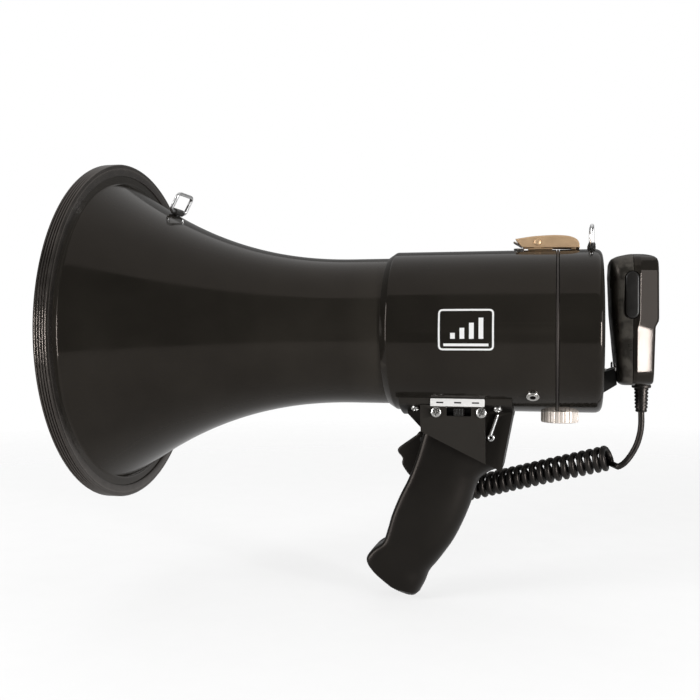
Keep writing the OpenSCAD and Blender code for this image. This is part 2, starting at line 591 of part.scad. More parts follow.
// ---- Cord ----
gland_x = -68;
gland_y = 27.5;
tail_points = [[51, 0, -50.8], [51.2, 0, -56], [50.6, 0, -63], [48.6, 0, -70.5], [44.8, -0.6, -77.6],
    [40.6, -1.6, -82.8], [36.6, -1.8, -85.4], [33.2, -0.4, -85.6]];
coil_points = [[31.4, 0, -79.6], [18, 4, -83.6], [2, 9, -88.4], [-14, 14.5, -93.4], [-30, 20, -98.4],
    [-45, 25, -103.2], [-60, 29.6, -107.8]];
lead_points = [[-68, 27.5, -85.4], [-68.2, 27.4, -90], [-68.4, 26.6, -95], [-67.4, 26, -99.6],
    [-64.8, 27.2, -101.8],
    [-61.8, 30, -101.9]];
module cord_gland() color("#131313") placed() translate([gland_x, 0, -78]) {
    cross_rod(0, 0, 4.5, grip_y - 2.4, gland_y);
    translate([0, gland_y, 0]) sphere(r = 4.5);
    translate([0, gland_y, -8]) cylinder(r1 = 2.8, r2 = 4.5, h = 8);
}
module cord_lead() color("#141414") placed() swept_tube(smooth_path(lead_points, 2), cord_r, 8);
module cord_coil() color("#161616") placed() swept_tube(smooth_path(coil_points, 2), coil_d / 2, 12);
module cord_tail() color("#141414") placed() swept_tube(smooth_path(tail_points, 2), cord_r, 8);

bell();
bell_rim_gasket();
throat_tube();
reflector_cup();
reflector_spider();
driver_basket();
driver_diaphragm();
voice_coil();
driver_top_plate();
driver_magnet();
driver_back_plate();
horn_screws();
body_shell();
amplifier_board();
amplifier_parts();
battery_carrier();
battery_cells();
battery_contacts();
rear_cap();
cap_seal();
volume_pot();
volume_knob();
aux_jack();
aux_jack_nut();
latch_base();
latch_lever();
latch_pin();
latch_spring();
latch_keeper();
front_ring_bracket();
front_strap_ring();
rear_ring_bracket();
rear_strap_ring();
saddle();
saddle_screws();
switch_label_plate();
label_screws();
slide_switch();
slide_knob();
strap_link();
grip_near_shell();
grip_far_shell();
grip_screws();
trigger();
trigger_pin();
trigger_spring();
trigger_switch();
mic_hanger();
mic_stud();
mic_rear_shell();
mic_front_shell();
mic_talk_button();
mic_talk_switch();
mic_capsule();
mic_screws();
mic_strain_relief();
cord_gland();
cord_lead();
cord_coil();
cord_tail();
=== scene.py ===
"""Looks for the handheld megaphone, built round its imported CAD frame.

Shapes are drawn in millimetres from the seam between the body and its rear cap, on the horn axis:
x runs back towards the microphone, y across to the far side and z up. at() turns that into the row frame.
"""

import json
from math import acos, asin, copysign, cos, dist, pi, radians, sin, sqrt, tan

import bmesh
import bpy
from mathutils import Euler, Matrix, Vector
from mathutils.geometry import interpolate_bezier


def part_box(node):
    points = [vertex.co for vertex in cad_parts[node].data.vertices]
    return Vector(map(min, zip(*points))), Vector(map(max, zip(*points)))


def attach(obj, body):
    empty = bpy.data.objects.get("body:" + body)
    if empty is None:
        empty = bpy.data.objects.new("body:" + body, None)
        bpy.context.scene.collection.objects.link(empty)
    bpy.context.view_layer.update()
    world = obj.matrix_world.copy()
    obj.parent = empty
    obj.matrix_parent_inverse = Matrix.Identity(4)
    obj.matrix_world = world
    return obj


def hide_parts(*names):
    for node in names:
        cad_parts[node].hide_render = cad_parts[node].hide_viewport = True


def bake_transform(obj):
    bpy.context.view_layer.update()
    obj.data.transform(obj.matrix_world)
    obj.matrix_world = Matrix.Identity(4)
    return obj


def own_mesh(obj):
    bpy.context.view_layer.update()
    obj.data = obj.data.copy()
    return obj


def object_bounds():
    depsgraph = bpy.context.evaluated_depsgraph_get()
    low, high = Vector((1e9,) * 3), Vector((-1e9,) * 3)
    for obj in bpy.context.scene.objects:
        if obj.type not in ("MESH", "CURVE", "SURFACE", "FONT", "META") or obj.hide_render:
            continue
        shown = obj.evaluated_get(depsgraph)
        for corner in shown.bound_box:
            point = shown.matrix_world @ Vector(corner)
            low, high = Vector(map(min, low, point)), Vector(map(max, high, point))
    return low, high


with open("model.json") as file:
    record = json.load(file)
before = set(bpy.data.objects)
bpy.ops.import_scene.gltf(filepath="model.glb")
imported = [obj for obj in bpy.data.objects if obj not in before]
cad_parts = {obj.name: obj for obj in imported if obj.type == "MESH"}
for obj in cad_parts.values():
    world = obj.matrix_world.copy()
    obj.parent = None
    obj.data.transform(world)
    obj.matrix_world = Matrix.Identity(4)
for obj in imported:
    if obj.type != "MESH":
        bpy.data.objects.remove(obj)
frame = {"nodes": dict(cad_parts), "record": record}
CAD_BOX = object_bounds()


# ---- Sizes taken from the frame ----
def span(node, axis):
    """(lowest, highest) coordinate of a CAD node along one axis, in metres."""
    low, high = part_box(node)
    return low[axis], high[axis]


def middle(node, axis):
    return sum(span(node, axis)) / 2


SEAM = middle("cap_seal", 0)
AXIS = middle("body_shell", 2)


def mm(value, origin=0.0):
    """A row frame coordinate as millimetres from an origin."""
    return (value - origin) * 1000


def spot(node):
    """(x, z) of a node's middle in millimetres."""
    return mm(middle(node, 0), SEAM), mm(middle(node, 2), AXIS)


BODY_R = mm(span("body_shell", 2)[1], AXIS)
BODY_FRONT = mm(span("body_shell", 0)[0], SEAM)
CAP_REAR = mm(span("rear_cap", 0)[1], SEAM)
RIM_R = mm(span("bell_rim_gasket", 2)[1], AXIS)
RIM_FRONT = mm(span("bell_rim_gasket", 0)[0], SEAM)
BELL_FRONT = mm(span("bell", 0)[0], SEAM)
KNOB_X = spot("volume_knob")[0]
KNOB_LOW = mm(span("volume_knob", 2)[0], AXIS)
KNOB_R = mm(span("volume_knob", 1)[1])
KNOB_TALL = 7.6
SADDLE_Y = mm(span("saddle", 1)[1])
GRIP_Y = mm(span("grip_far_shell", 1)[1])
MIC_Y = mm(span("mic_rear_shell", 1)[1])
MIC_SPLIT = mm(span("mic_front_shell", 0)[0], SEAM)
FLOOR_Z = CAD_BOX[0].z - 0.001


def at(x, y=0.0, z=0.0):
    return Vector((SEAM + x / 1000, y / 1000, AXIS + z / 1000))


# ---- Curves and outlines ----
def smooth(points, steps, closed=False):
    """A smooth curve through points of any dimension."""
    count = len(points)

    def pick(i):
        return points[i % count] if closed else points[max(0, min(count - 1, i))]

    made = []
    for i in range(count if closed else count - 1):
        a, b, c, d = pick(i - 1), pick(i), pick(i + 1), pick(i + 2)
        for k in range(steps):
            t = k / steps
            point = []
            for p, q, r, s in zip(a, b, c, d):
                bend = (2 * p - 5 * q + 4 * r - s) * t * t + (3 * q - p - 3 * r + s) * t ** 3
                point.append(0.5 * (2 * q + (r - p) * t + bend))
            made.append(tuple(point))
    return made if closed else made + [tuple(points[-1])]


def rounded(corners, radius, steps=4):
    """A closed outline with rounded corners. radius is one number or one a corner, less on short edges."""
    made = []
    for i, corner in enumerate(corners):
        size = radius[i] if isinstance(radius, (list, tuple)) else radius
        here = Vector(corner)
        before, after = Vector(corners[i - 1]), Vector(corners[(i + 1) % len(corners)])
        u, v = before - here, after - here
        if size <= 0 or min(u.length, v.length) < 1e-6:
            made.append(tuple(here))
            continue
        half = max(u.angle(v) / 2, 0.05)
        reach = min(size / tan(half), 0.45 * u.length, 0.45 * v.length)
        start, end = here + u.normalized() * reach, here + v.normalized() * reach
        for k in range(steps + 1):
            t = k / steps
            made.append(tuple(start * (1 - t) ** 2 + here * 2 * t * (1 - t) + end * t * t))
    return made


def stadium(length, width, steps=12):
    """An upright slot outline round its own middle."""
    r, run = width / 2, (length - width) / 2
    ends = [(pi * k / steps, 1) for k in range(steps + 1)]
    ends += [(pi + pi * k / steps, -1) for k in range(steps + 1)]
    return [(r * cos(a), side * run + r * sin(a)) for a, side in ends]


def box_outline(x0, x1, z0, z1):
    return [(x0, z0), (x1, z0), (x1, z1), (x0, z1)]


def moved(outline, dx, dz):
    return [(x + dx, z + dz) for x, z in outline]


def full_turn(steps):
    """The angles of a whole turn, evenly spaced."""
    return [2 * pi * k / steps for k in range(steps)]


def quarter_turn(steps):
    """The angles from 0 to a right angle, evenly spaced."""
    return [pi / 2 * k / steps for k in range(steps + 1)]


def value_at(points, station):
    """The second coordinate at a station, from points in rising order of the first."""
    for (a, low), (b, high) in zip(points, points[1:]):
        if station <= b:
            return low + (high - low) * max(0.0, station - a) / (b - a)
    return points[-1][1]


def inset(outline, distance):
    """The outline pulled in along its own normals; an outline that runs anticlockwise shrinks."""
    area = sum(a[0] * b[1] - b[0] * a[1] for a, b in zip(outline, outline[1:] + outline[:1]))
    turn = 1 if area > 0 else -1
    made = []
    for i, point in enumerate(outline):
        before, after = Vector(outline[i - 1]), Vector(outline[(i + 1) % len(outline)])
        u, v = Vector(point) - before, after - Vector(point)
        n = Vector((0, 0))
        for edge in (u, v):
            if edge.length > 1e-9:
                n += Vector((-edge.y, edge.x)).normalized()
        length = n.length
        if length < 1e-6:
            made.append(tuple(point))
            continue
        n /= length
        shift = min(distance * 2 / length, distance * 1.6)
        made.append((point[0] + turn * n.x * shift, point[1] + turn * n.y * shift))
    return made


# ---- Meshes ----
class Shape:
    """Vertices in the row frame and the faces on them, gathered before they become one piece."""

    def __init__(self):
        self.points = []
        self.faces = []

    def add(self, points, faces):
        start = len(self.points)
        self.points += [Vector(p) for p in points]
        self.faces += [tuple(start + i for i in face) for face in faces]

    def rings(self, rings, closed_along=False, caps=True):
        """Faces between rings of the same number of points, with flat caps if the rings don't join up."""
        size, count = len(rings[0]), len(rings)
        faces = []
        for i in range(count if closed_along else count - 1):
            a, b = i * size, (i + 1) % count * size
            faces += [(a + k, a + (k + 1) % size, b + (k + 1) % size, b + k) for k in range(size)]
        if caps and not closed_along:
            faces += [tuple(range(size))[::-1], tuple((count - 1) * size + k for k in range(size))]
        self.add([p for ring in rings for p in ring], faces)
        return self

    def lathe(self, outline, origin=None, direction=(1, 0, 0), steps=192, ripple=None):
        """A closed (along, radius) outline turned about a line. ripple(angle, along) adds to the radius."""
        origin = at(0) if origin is None else origin
        line = Vector(direction).normalized()
        side = line.cross((0, 0, 1) if abs(line.z) < 0.9 else (0, 1, 0)).normalized()
        other = line.cross(side)
        rings = []
        for a in full_turn(steps):
            out = side * cos(a) + other * sin(a)
            ring = []
            for along, radius in outline:
                wave = ripple(a, along) if ripple and radius > 0.01 else 0
                ring.append(origin + line * (along / 1000) + out * ((max(radius, 0) + wave) / 1000))
            rings.append(ring)
        return self.rings(rings, closed_along=True)

    def plate(self, outline, low, high, edge=0.3, place=None, steps=3):
        """A closed outline given a thickness, with rounded edges. place(u, v, w) puts it in the row frame."""
        place = place or (lambda x, z, y: at(x, y, z))
        rings = []
        for end, inward in ((low, 1), (high, -1)):
            part = []
            for a in quarter_turn(steps):
                line = inset(outline, edge * (1 - sin(a))) if edge else outline
                part.append([place(u, v, end + inward * edge * (1 - cos(a))) for u, v in line])
            rings += part if inward > 0 else part[::-1]
        return self.rings(rings)

    def tube(self, path, radius, sides=12, closed=False):
        """A round tube along row frame points. radius is one number in mm or one a point."""
        path = [Vector(p) for p in path]
        count = len(path)
        heading = []
        for i in range(count):
            before = path[i - 1] if closed or i else path[0]
            after = path[(i + 1) % count] if closed or i < count - 1 else path[-1]
            heading.append((after - before).normalized())
        side = heading[0].orthogonal().normalized()
        rings = []
        for i, point in enumerate(path):
            side = (side - heading[i] * side.dot(heading[i])).normalized()
            other = heading[i].cross(side)
            r = (radius[i] if isinstance(radius, (list, tuple)) else radius) / 1000
            rings.append([point + side * r * cos(a) + other * r * sin(a) for a in full_turn(sides)])
        return self.rings(rings, closed_along=closed)

    def mesh(self, name):
        made = bpy.data.meshes.new(name)
        bm = bmesh.new()
        verts = [bm.verts.new(p) for p in self.points]
        for face in self.faces:
            if len(set(face)) > 2:
                bm.faces.new([verts[i] for i in face])
        bmesh.ops.remove_doubles(bm, verts=bm.verts, dist=2e-6)
        bmesh.ops.dissolve_degenerate(bm, edges=bm.edges, dist=1e-6)
        bmesh.ops.recalc_face_normals(bm, faces=bm.faces)
        bm.to_mesh(made)
        bm.free()
        return made


def crease(mesh, angle):
    """Smooth shading, with edges sharper than an angle kept crisp."""
    bm = bmesh.new()
    bm.from_mesh(mesh)
    for face in bm.faces:
        face.smooth = True
    for e in bm.edges:
        e.smooth = len(e.link_faces) == 2 and e.calc_face_angle(0) < radians(angle)
    bm.to_mesh(mesh)
    bm.free()


def new_object(name, data):
    obj = bpy.data.objects.new(name, data)
    bpy.context.scene.collection.objects.link(obj)
    return obj


def take_out(obj, cut, name):
    """Cuts a shape out of a piece for good."""
    tool = new_object(name, cut.mesh(name))
    step = obj.modifiers.new("cut", "BOOLEAN")
    step.object, step.operation, step.solver = tool, "DIFFERENCE", "EXACT"
    bpy.context.view_layer.update()
    finished = obj.evaluated_get(bpy.context.evaluated_depsgraph_get())
    cut_mesh = bpy.data.meshes.new_from_object(finished)
    obj.modifiers.clear()
    obj.data = cut_mesh
    bpy.data.objects.remove(tool)


def piece(name, shape, material, body="root", nodes=(), cuts=(), angle=32):
    """One finished piece that rides on a body. cuts are shapes taken out of it."""
    obj = new_object(name, shape.mesh(name))
    for i, cut in enumerate(cuts):
        take_out(obj, cut, f"{name}_cut_{i}")
    obj.data.name = name
    crease(obj.data, angle)
    obj.data.materials.clear()
    obj.data.materials.append(material)
    if body:
        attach(obj, body)
    if nodes:
        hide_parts(*nodes)
    return obj


# ---- Camera, on a level with the horn axis and abreast of the seam, turned towards the bell ----
def add_camera(away=0.599, lens_mm=47.37, sensor_mm=36, down=1.18, turned=12.7):
    data = bpy.data.cameras.new("camera")
    data.sensor_width, data.lens = sensor_mm, lens_mm
    camera = new_object("camera", data)
    camera.location = (SEAM, -away, AXIS)
    camera.rotation_euler = Euler((radians(90 - down), 0, radians(turned)))
    bpy.context.scene.camera = camera


add_camera()


# ---- Materials ----
def set_range(step, *numbers):
    """Sets a Map Range node's from and to ends."""
    for name, number in zip(("From Min", "From Max", "To Min", "To Max"), numbers):
        step.inputs[name].default_value = number


class Surface:
    """A node material that starts from plain shader values and gets its detail added step by step."""

    def __init__(self, name, colour, roughness, metallic=0.0, ior=1.5):
        self.material = bpy.data.materials.new(name)
        self.material.use_nodes = True
        self.tree = self.material.node_tree
        self.shader = self.tree.nodes["Principled BSDF"]
        self.set("Base Color", (*colour, 1))
        self.set("Roughness", roughness)
        self.set("Metallic", metallic)
        self.set("IOR", ior)
        self.colour, self.roughness = colour, roughness
        self.place = self.node("TexCoord").outputs["Object"]
        self.last_bump = None

    def set(self, socket, value):
        self.shader.inputs[socket].default_value = value

    def node(self, kind):
        return self.tree.nodes.new("ShaderNode" + kind)

    def link(self, source, target):
        self.tree.links.new(source, target)

    def noise(self, size_mm, stretch=(1, 1, 1), detail=3.0):
        """Noise with features of about that size. A large stretch packs them closer along that axis."""
        scale = self.node("Mapping")
        scale.inputs["Scale"].default_value = stretch
        self.link(self.place, scale.inputs["Vector"])
        texture = self.node("TexNoise")
        texture.inputs["Scale"].default_value = 1000 / size_mm
        texture.inputs["Detail"].default_value = detail
        texture.inputs["Roughness"].default_value = 0.55
        self.link(scale.outputs["Vector"], texture.inputs["Vector"])
        return texture.outputs["Fac"]

    def cells(self, size_mm):
        texture = self.node("TexVoronoi")
        texture.inputs["Scale"].default_value = 1000 / size_mm
        self.link(self.place, texture.inputs["Vector"])
        return texture.outputs["Distance"]

    def edges(self):
        """Convex edges, where handling wears a surface and where a painted highlight lies on the rim's rib
        crests.
        """
        return self.node("NewGeometry").outputs["Pointiness"]

    def spread(self, value, from_low, from_high, to_low=0.0, to_high=1.0):
        step = self.node("MapRange")
        set_range(step, from_low, from_high, to_low, to_high)
        self.link(value, step.inputs["Value"])
        return step.outputs["Result"]

    def combine(self, first, second, operation="ADD"):
        step = self.node("Math")
        step.operation = operation
        self.link(first, step.inputs[0])
        self.link(second, step.inputs[1])
        return step.outputs[0]

    def tint(self, amount, colour):
        """Blends the base colour towards another by an amount."""
        mix = self.node("Mix")
        mix.data_type = "RGBA"
        target = self.shader.inputs["Base Color"]
        if target.links:
            self.link(target.links[0].from_socket, mix.inputs[6])
        else:
            mix.inputs[6].default_value = (*self.colour, 1)
        mix.inputs[7].default_value = (*colour, 1)
        self.link(amount, mix.inputs[0])
        self.link(mix.outputs[2], target)

    def shade(self, value, factor, from_low, from_high, most=1.0):
        """Blends the base colour towards a multiple of itself as a value rises."""
        self.tint(self.spread(value, from_low, from_high, 0, most), scaled(self.colour, factor))

    def vary(self, value, low, high, from_low=0.35, from_high=0.65):
        """Adds to the roughness, between two amounts."""
        extra = self.spread(value, from_low, from_high, low, high)
        target = self.shader.inputs["Roughness"]
        if target.links:
            extra = self.combine(target.links[0].from_socket, extra)
        else:
            step = self.node("Math")
            step.inputs[1].default_value = self.roughness
            self.link(extra, step.inputs[0])
            extra = step.outputs[0]
        self.link(extra, target)

    def bump(self, value, height_mm):
        step = self.node("Bump")
        step.inputs["Distance"].default_value = height_mm / 1000
        self.link(value, step.inputs["Height"])
        if self.last_bump:
            self.link(self.last_bump, step.inputs["Normal"])
        self.last_bump = step.outputs["Normal"]
        for name in ("Normal", "Coat Normal"):
            self.link(self.last_bump, self.shader.inputs[name])


# The tint of a sheen on black plastic and rubber, and the pointiness of a worn edge
WARM = (1.0, 0.87, 0.79, 1)
WORN = (0.53, 0.62)


def scaled(colour, factor):
    return tuple(min(1.0, c * factor) for c in colour)


def moulded(name, colour, roughness, pale_edges=0.5, gloss_wave=0.006):
    """Glossy moulded plastic: flow pattern, fine dust, hairline scratches and paler worn edges."""
    s = Surface(name, colour, roughness, ior=1.49)
    s.set("Specular IOR Level", 0.27)
    s.set("Specular Tint", WARM)
    s.shade(s.noise(45, detail=2), 1.35, 0.35, 0.7)
    s.shade(s.noise(0.5, detail=2), 4, 0.66, 0.8, 0.35)
    s.shade(s.edges(), 3.2, *WORN, pale_edges)
    s.vary(s.noise(22), -0.03, 0.05)
    s.vary(s.noise(1.2, stretch=(1, 1, 14)), 0, 0.05, 0.6, 0.75)
    s.vary(s.edges(), 0, 0.12, *WORN)
    s.bump(s.noise(5, detail=1), gloss_wave)
    s.bump(s.noise(0.6, stretch=(1, 12, 1)), 0.002)
    return s.material


def grained(name, colour, roughness, grain_mm=0.8, depth_mm=0.02):
    """Satin plastic with a fine moulded grain."""
    s = Surface(name, colour, roughness, ior=1.47)
    s.shade(s.noise(18), 1.4, 0.4, 0.7)
    s.shade(s.edges(), 3, *WORN, 0.5)
    s.vary(s.noise(9), -0.04, 0.06)
    s.bump(s.cells(grain_mm), depth_mm)
    s.bump(s.noise(grain_mm / 3), depth_mm / 3)
    return s.material


def scuffs_and_sheen(name, colour, roughness):
    """Moulded plastic with paler, duller patches: handling scuffs, and a painted mottled highlight that
    lightens the case.
    """
    s = Surface(name, colour, roughness, ior=1.49)
    s.set("Specular Tint", WARM)
    # Pale patches in the base colour: scuffing, and a painted highlight that stands in for the case's mottled
    # sheen.
    s.shade(s.noise(8, detail=5), 4, 0.46, 0.6, 0.6)
    s.shade(s.edges(), 4, *WORN, 0.8)
    s.vary(s.noise(8, detail=5), -0.05, 0.2)
    s.vary(s.noise(0.8, stretch=(1, 1, 12)), 0, 0.06, 0.6, 0.75)
    s.bump(s.noise(5, detail=1), 0.008)
    s.bump(s.noise(0.5), 0.003)
    return s.material


def rubbery(name, colour, roughness, pore_mm=0.012, shine=0.5, pale_edges=0.2):
    """Rubber: chalky patches, dust specks, fine pores and paler edges, which are rubbed wear and, on the
    rim's rib crests, a painted highlight.
    """
    s = Surface(name, colour, roughness)
    s.set("Specular IOR Level", shine)
    s.set("Specular Tint", WARM)
    s.shade(s.noise(14), 1.9, 0.4, 0.75)
    s.shade(s.noise(0.4), 4, 0.6, 0.8, 0.4)
    # Paler convex edges: rubbed wear; turned up high on the rim, a painted highlight along its rib crests.
    s.shade(s.edges(), 5, 0.52, 0.6, pale_edges)
    s.vary(s.noise(6), -0.06, 0.1)
    s.bump(s.noise(0.35, detail=4), pore_mm)
    return s.material


def metal(name, colour, roughness, brushed=(1, 1, 1), tarnish=0.3, depth_mm=0.003, metallic=1.0):
    """Bare or plated metal: brushing or rolling lines, tarnish and handling marks."""
    s = Surface(name, colour, roughness, metallic=metallic)
    lines = s.noise(0.4, stretch=brushed)
    s.shade(s.noise(6), 0.55, 0.4, 0.75, tarnish)
    s.shade(lines, 0.75, 0.45, 0.75, 0.25)
    s.vary(s.noise(3), -0.03, 0.08)
    s.vary(lines, -0.03, 0.08)
    s.bump(lines, depth_mm)
    s.bump(s.noise(2.5, detail=1), depth_mm)
    return s.material


def coated(name, colour, roughness, spots=0.25):
    """Paint, print or solder mask: slightly uneven cover over what lies under it."""
    s = Surface(name, colour, roughness)
    s.set("Coat Weight", 0.15)
    s.set("Coat Roughness", 0.25)
    s.shade(s.noise(3), 0.72, 0.45, 0.8, spots)
    s.shade(s.noise(0.25), 0.5, 0.62, 0.75, spots)
    s.vary(s.noise(2), -0.05, 0.1)
    s.bump(s.noise(0.5), 0.006)
    return s.material


BLACK = (0.0136, 0.0120, 0.0099)
BRUSHED_BACK = (1, 14, 14)
# Slot name, maker, colour, roughness and what else the maker is told
FINISHES = [
    ("horn_plastic", moulded, scaled(BLACK, 1.25), 0.1, {}),
    ("body_plastic", moulded, BLACK, 0.08, {}),
    ("grip_plastic", moulded, (0.0078, 0.0072, 0.0063), 0.34, dict(pale_edges=0.8, gloss_wave=0.012)),
    ("trim_plastic", grained, (0.0125, 0.0117, 0.0106), 0.42, {}),
    ("switch_plastic", grained, (0.0118, 0.0108, 0.0098), 0.38, dict(grain_mm=0.5, depth_mm=0.01)),
    # The rim's edge paling is high: a painted highlight along the rib crests as well as rubbed wear.
    ("rim_rubber", rubbery, (0.015, 0.0136, 0.0122), 0.17, dict(pore_mm=0.005, shine=0.8, pale_edges=0.9)),
    ("seal_rubber", rubbery, (0.02, 0.018, 0.017), 0.4, {}),
    ("cord_jacket", rubbery, (0.0070, 0.0067, 0.0064), 0.34, dict(shine=0.35)),
    ("latch_brass", metal, (0.76, 0.52, 0.31), 0.42, dict(brushed=BRUSHED_BACK, metallic=0.6)),
    ("chrome_wire", metal, (0.93, 0.93, 0.93), 0.26, dict(tarnish=0.15, depth_mm=0.001)),
    ("steel_fasteners", metal, (0.74, 0.73, 0.71), 0.24, {}),
    ("nickel", metal, (0.78, 0.76, 0.73), 0.16, dict(tarnish=0.2)),
    ("knob_metal", metal, (0.86, 0.78, 0.71), 0.45, dict(brushed=(1, 1, 10), tarnish=0.15, metallic=0.6)),
    ("label", coated, (0.83, 0.82, 0.8), 0.42, dict(spots=0.12)),
    ("board", coated, (0.03, 0.17, 0.07), 0.35, {}),
    ("parts", metal, (0.6, 0.6, 0.61), 0.4, dict(brushed=(1, 10, 10))),
    ("magnet", grained, (0.07, 0.07, 0.075), 0.55, dict(grain_mm=0.4)),
    ("copper", metal, (0.72, 0.36, 0.2), 0.3, dict(brushed=(30, 1, 1))),
    ("film", coated, (0.52, 0.38, 0.14), 0.35, {}),
    ("cells", coated, (0.4, 0.27, 0.08), 0.3, {}),
]
FINISH = {name: make(name, colour, rough, **more) for name, make, colour, rough, more in FINISHES}
GROOVE = grained("dark_gap", (0.004, 0.004, 0.004), 0.8)
SCUFF_AND_SHEEN_CASE = scuffs_and_sheen("scuff_and_sheen_case", (0.021, 0.0194, 0.0166), 0.3)
INK = coated("white_ink", (0.86, 0.86, 0.85), 0.5, spots=0.1)

SLOT_OF = {part["node"]: part["material_slot"] for part in frame["record"]["subparts"]}
BODIES = frame["record"]["behaviour"]["bodies"]
BODY_OF = {node: body for body, nodes in BODIES.items() for node in nodes}

for cad_node, cad_slot in SLOT_OF.items():
    cad_mesh = frame["nodes"][cad_node].data
    cad_mesh.materials.clear()
    cad_mesh.materials.append(FINISH[cad_slot])


def stand_in(name, shape, node, cuts=(), angle=32, finish=None):
    """A detailed piece that takes the place and body of a CAD node, and its finish unless given one."""
    slot = SLOT_OF[node]
    return piece(name, shape, finish or FINISH[slot], BODY_OF[node], (node,), cuts, angle)


# ---- Curly cord: a short tail from the microphone, the coil, and a lead into the grip ----
CORD_D = 3.8
COIL_R = 6.2
TAIL = [(51, 0, -49.6), (51.1, 0, -53), (51.1, 0, -58), (50.4, 0, -64), (48.4, -0.1, -71),
        (44.9, -0.7, -77.6), (40.8, -1.7, -82.6), (36.8, -1.7, -85.2)]
COIL_AXIS = [(31.4, 0, -79.6), (18, 4, -83.6), (2, 9, -88.4), (-14, 14.5, -93.4), (-30, 20, -98.4),
             (-45, 25, -103.2), (-60, 29.6, -107.8)]
LEAD = [(-64.8, 27.0, -101.7), (-67.2, 26, -99.4), (-68.3, 26.5, -95), (-68.2, 27.3, -90),
        (-68, 27.5, -85.4), (-68, 27.5, -83)]
TURNS = 19.5


def coil_path():
    """Turns from the bottom at the microphone's end to the top at the grip's end."""
    axis = [Vector(p) for p in smooth(COIL_AXIS, 16)]
    steps = round(TURNS * 24)
    made = []
    for k in range(1, steps):
        t = k / steps * (len(axis) - 1)
        i = min(int(t), len(axis) - 2)
        centre = axis[i].lerp(axis[i + 1], t - i)
        along = (axis[i + 1] - axis[i]).normalized()
        down = (Vector((0, 0, -1)) - along * -along.z).normalized()
        side = down.cross(along)
        a = 2 * pi * TURNS * k / steps
        made.append(tuple(centre + COIL_R * (down * cos(a) + side * sin(a))))
    return made


def add_cord():
    line = smooth(TAIL, 5)[:-1] + coil_path()[2:-2] + smooth(LEAD, 5)
    path = [at(*p) for p in line]
    cord = piece("curly_cord", Shape().tube(path, CORD_D / 2, sides=14), FINISH["cord_jacket"],
                 body=None, nodes=("cord_tail", "cord_coil", "cord_lead"))
    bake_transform(cord)


add_cord()


# ---- Horn ----
THROAT_R = 47.5
BELL_WALL = 2.2
FLARE_BACK = BODY_FRONT - 24
FLANGE = BELL_FRONT + 2
FLARE_R = THROAT_R + 54.5
BULKHEAD = BODY_FRONT + 6.5


def flare(x):
    """Outside radius of the bell, a power curve from the throat to the flange."""
    return THROAT_R + (FLARE_R - THROAT_R) * max(0, (FLARE_BACK - x) / (FLARE_BACK - FLANGE)) ** 2.18


def add_bell():
    stations = [FLARE_BACK + (FLANGE - FLARE_BACK) * k / 90 for k in range(91)]
    outside = [(x, flare(x)) for x in stations[:-2]]
    inside = [(x, flare(x) - BELL_WALL) for x in stations[::-1]]
    turn = stations[-3]
    turn_out = rounded([(turn, flare(turn)), (FLANGE, FLARE_R), (FLANGE, RIM_R - 3)], [0, 2.4, 0], 6)
    lip = rounded([(BELL_FRONT, RIM_R - 3), (BELL_FRONT, FLARE_R - 0.8), inside[0]], [0, 1.2, 0], 5)
    back = [(BULKHEAD - 3, THROAT_R - BELL_WALL), (BULKHEAD - 3, 36), (BULKHEAD, 36), (BULKHEAD, THROAT_R)]
    outline = outside + turn_out[1:] + lip + inside[1:] + back
    stand_in("horn_bell", Shape().lathe(outline), "bell")


# One rib of the rim: how far forward of its back edge, and how far below the rim's outside
RIB = [(0, 1.3), (0.18, 0.6), (0.45, 0.22), (0.88, 0), (1.31, 0.22), (1.57, 0.6)]


def add_rim(ribs=5, pitch=1.75):
    """The rubber gasket round the bell's lip, ribbed on its outside."""
    back_x = FLANGE + 1
    outside = [(back_x - i * pitch - ahead, RIM_R - below) for i in range(ribs) for ahead, below in RIB]
    front = rounded([(RIM_FRONT + 0.4, RIM_R - 1.0), (RIM_FRONT, RIM_R - 1.6), (RIM_FRONT, RIM_R - 8),
                     (RIM_FRONT + 1, RIM_R - 9), (BELL_FRONT, RIM_R - 9)], [0.2, 0.5, 1, 0.4, 0], 3)
    seat = [(BELL_FRONT, RIM_R - 3.1), (FLANGE, RIM_R - 3.1), (FLANGE, RIM_R - 7.6)]
    heel = rounded([(FLANGE, RIM_R - 8), (back_x, RIM_R - 7.6), (back_x, RIM_R - 0.9)], [0.3, 0.5, 0.3], 3)
    gasket = Shape().lathe(outside + front + seat + heel)
    stand_in("bell_rim_rubber", gasket, "bell_rim_gasket", angle=40)


def add_reflector():
    """The cup in the bell that turns the sound round: widening sides and a domed nose."""
    nose_x, nose_r = -245, 44
    side = smooth([(-150, 30), (-170, 32), (-190, 34), (-206, 40), (-225, 42.4), (nose_x, nose_r)], 6)
    shell = side + [(nose_x - 19 * sin(a), nose_r * cos(a)) for a in quarter_turn(20)[1:]]
    hollow = [(x + (2 if r < 20 else 0), max(0, r - 2)) for x, r in shell[::-1]]
    stand_in("horn_reflector", Shape().lathe(shell + hollow, steps=128), "reflector_cup")


def add_throat_tube():
    base, mouth = FLARE_BACK - 1, FLARE_BACK - 95
    tube = rounded([(base, 11), (base, 24), (base - 3, 24), (base - 3, 14.5), (mouth, 18), (mouth, 15.5)],
                   [0, 0.6, 0.6, 1.5, 0.8, 0.8], 4)
    stand_in("horn_throat_tube", Shape().lathe(tube, steps=96), "throat_tube")


add_bell()
add_rim()
add_reflector()
add_throat_tube()


# ---- Body, cap and what sits on them ----
BODY_IN = BODY_R - 2.4
BOSS_R = 13.2
BOSS_REAR = 17


def knob_cut(radius, top=22 - BODY_R):
    """A cylinder to cut with, on the volume knob's axis, from under the body up to top."""
    outline = [(KNOB_X + radius * cos(a), radius * sin(a)) for a in full_turn(72)]
    return Shape().plate(outline, -BODY_R - 12, top, edge=0, place=at)


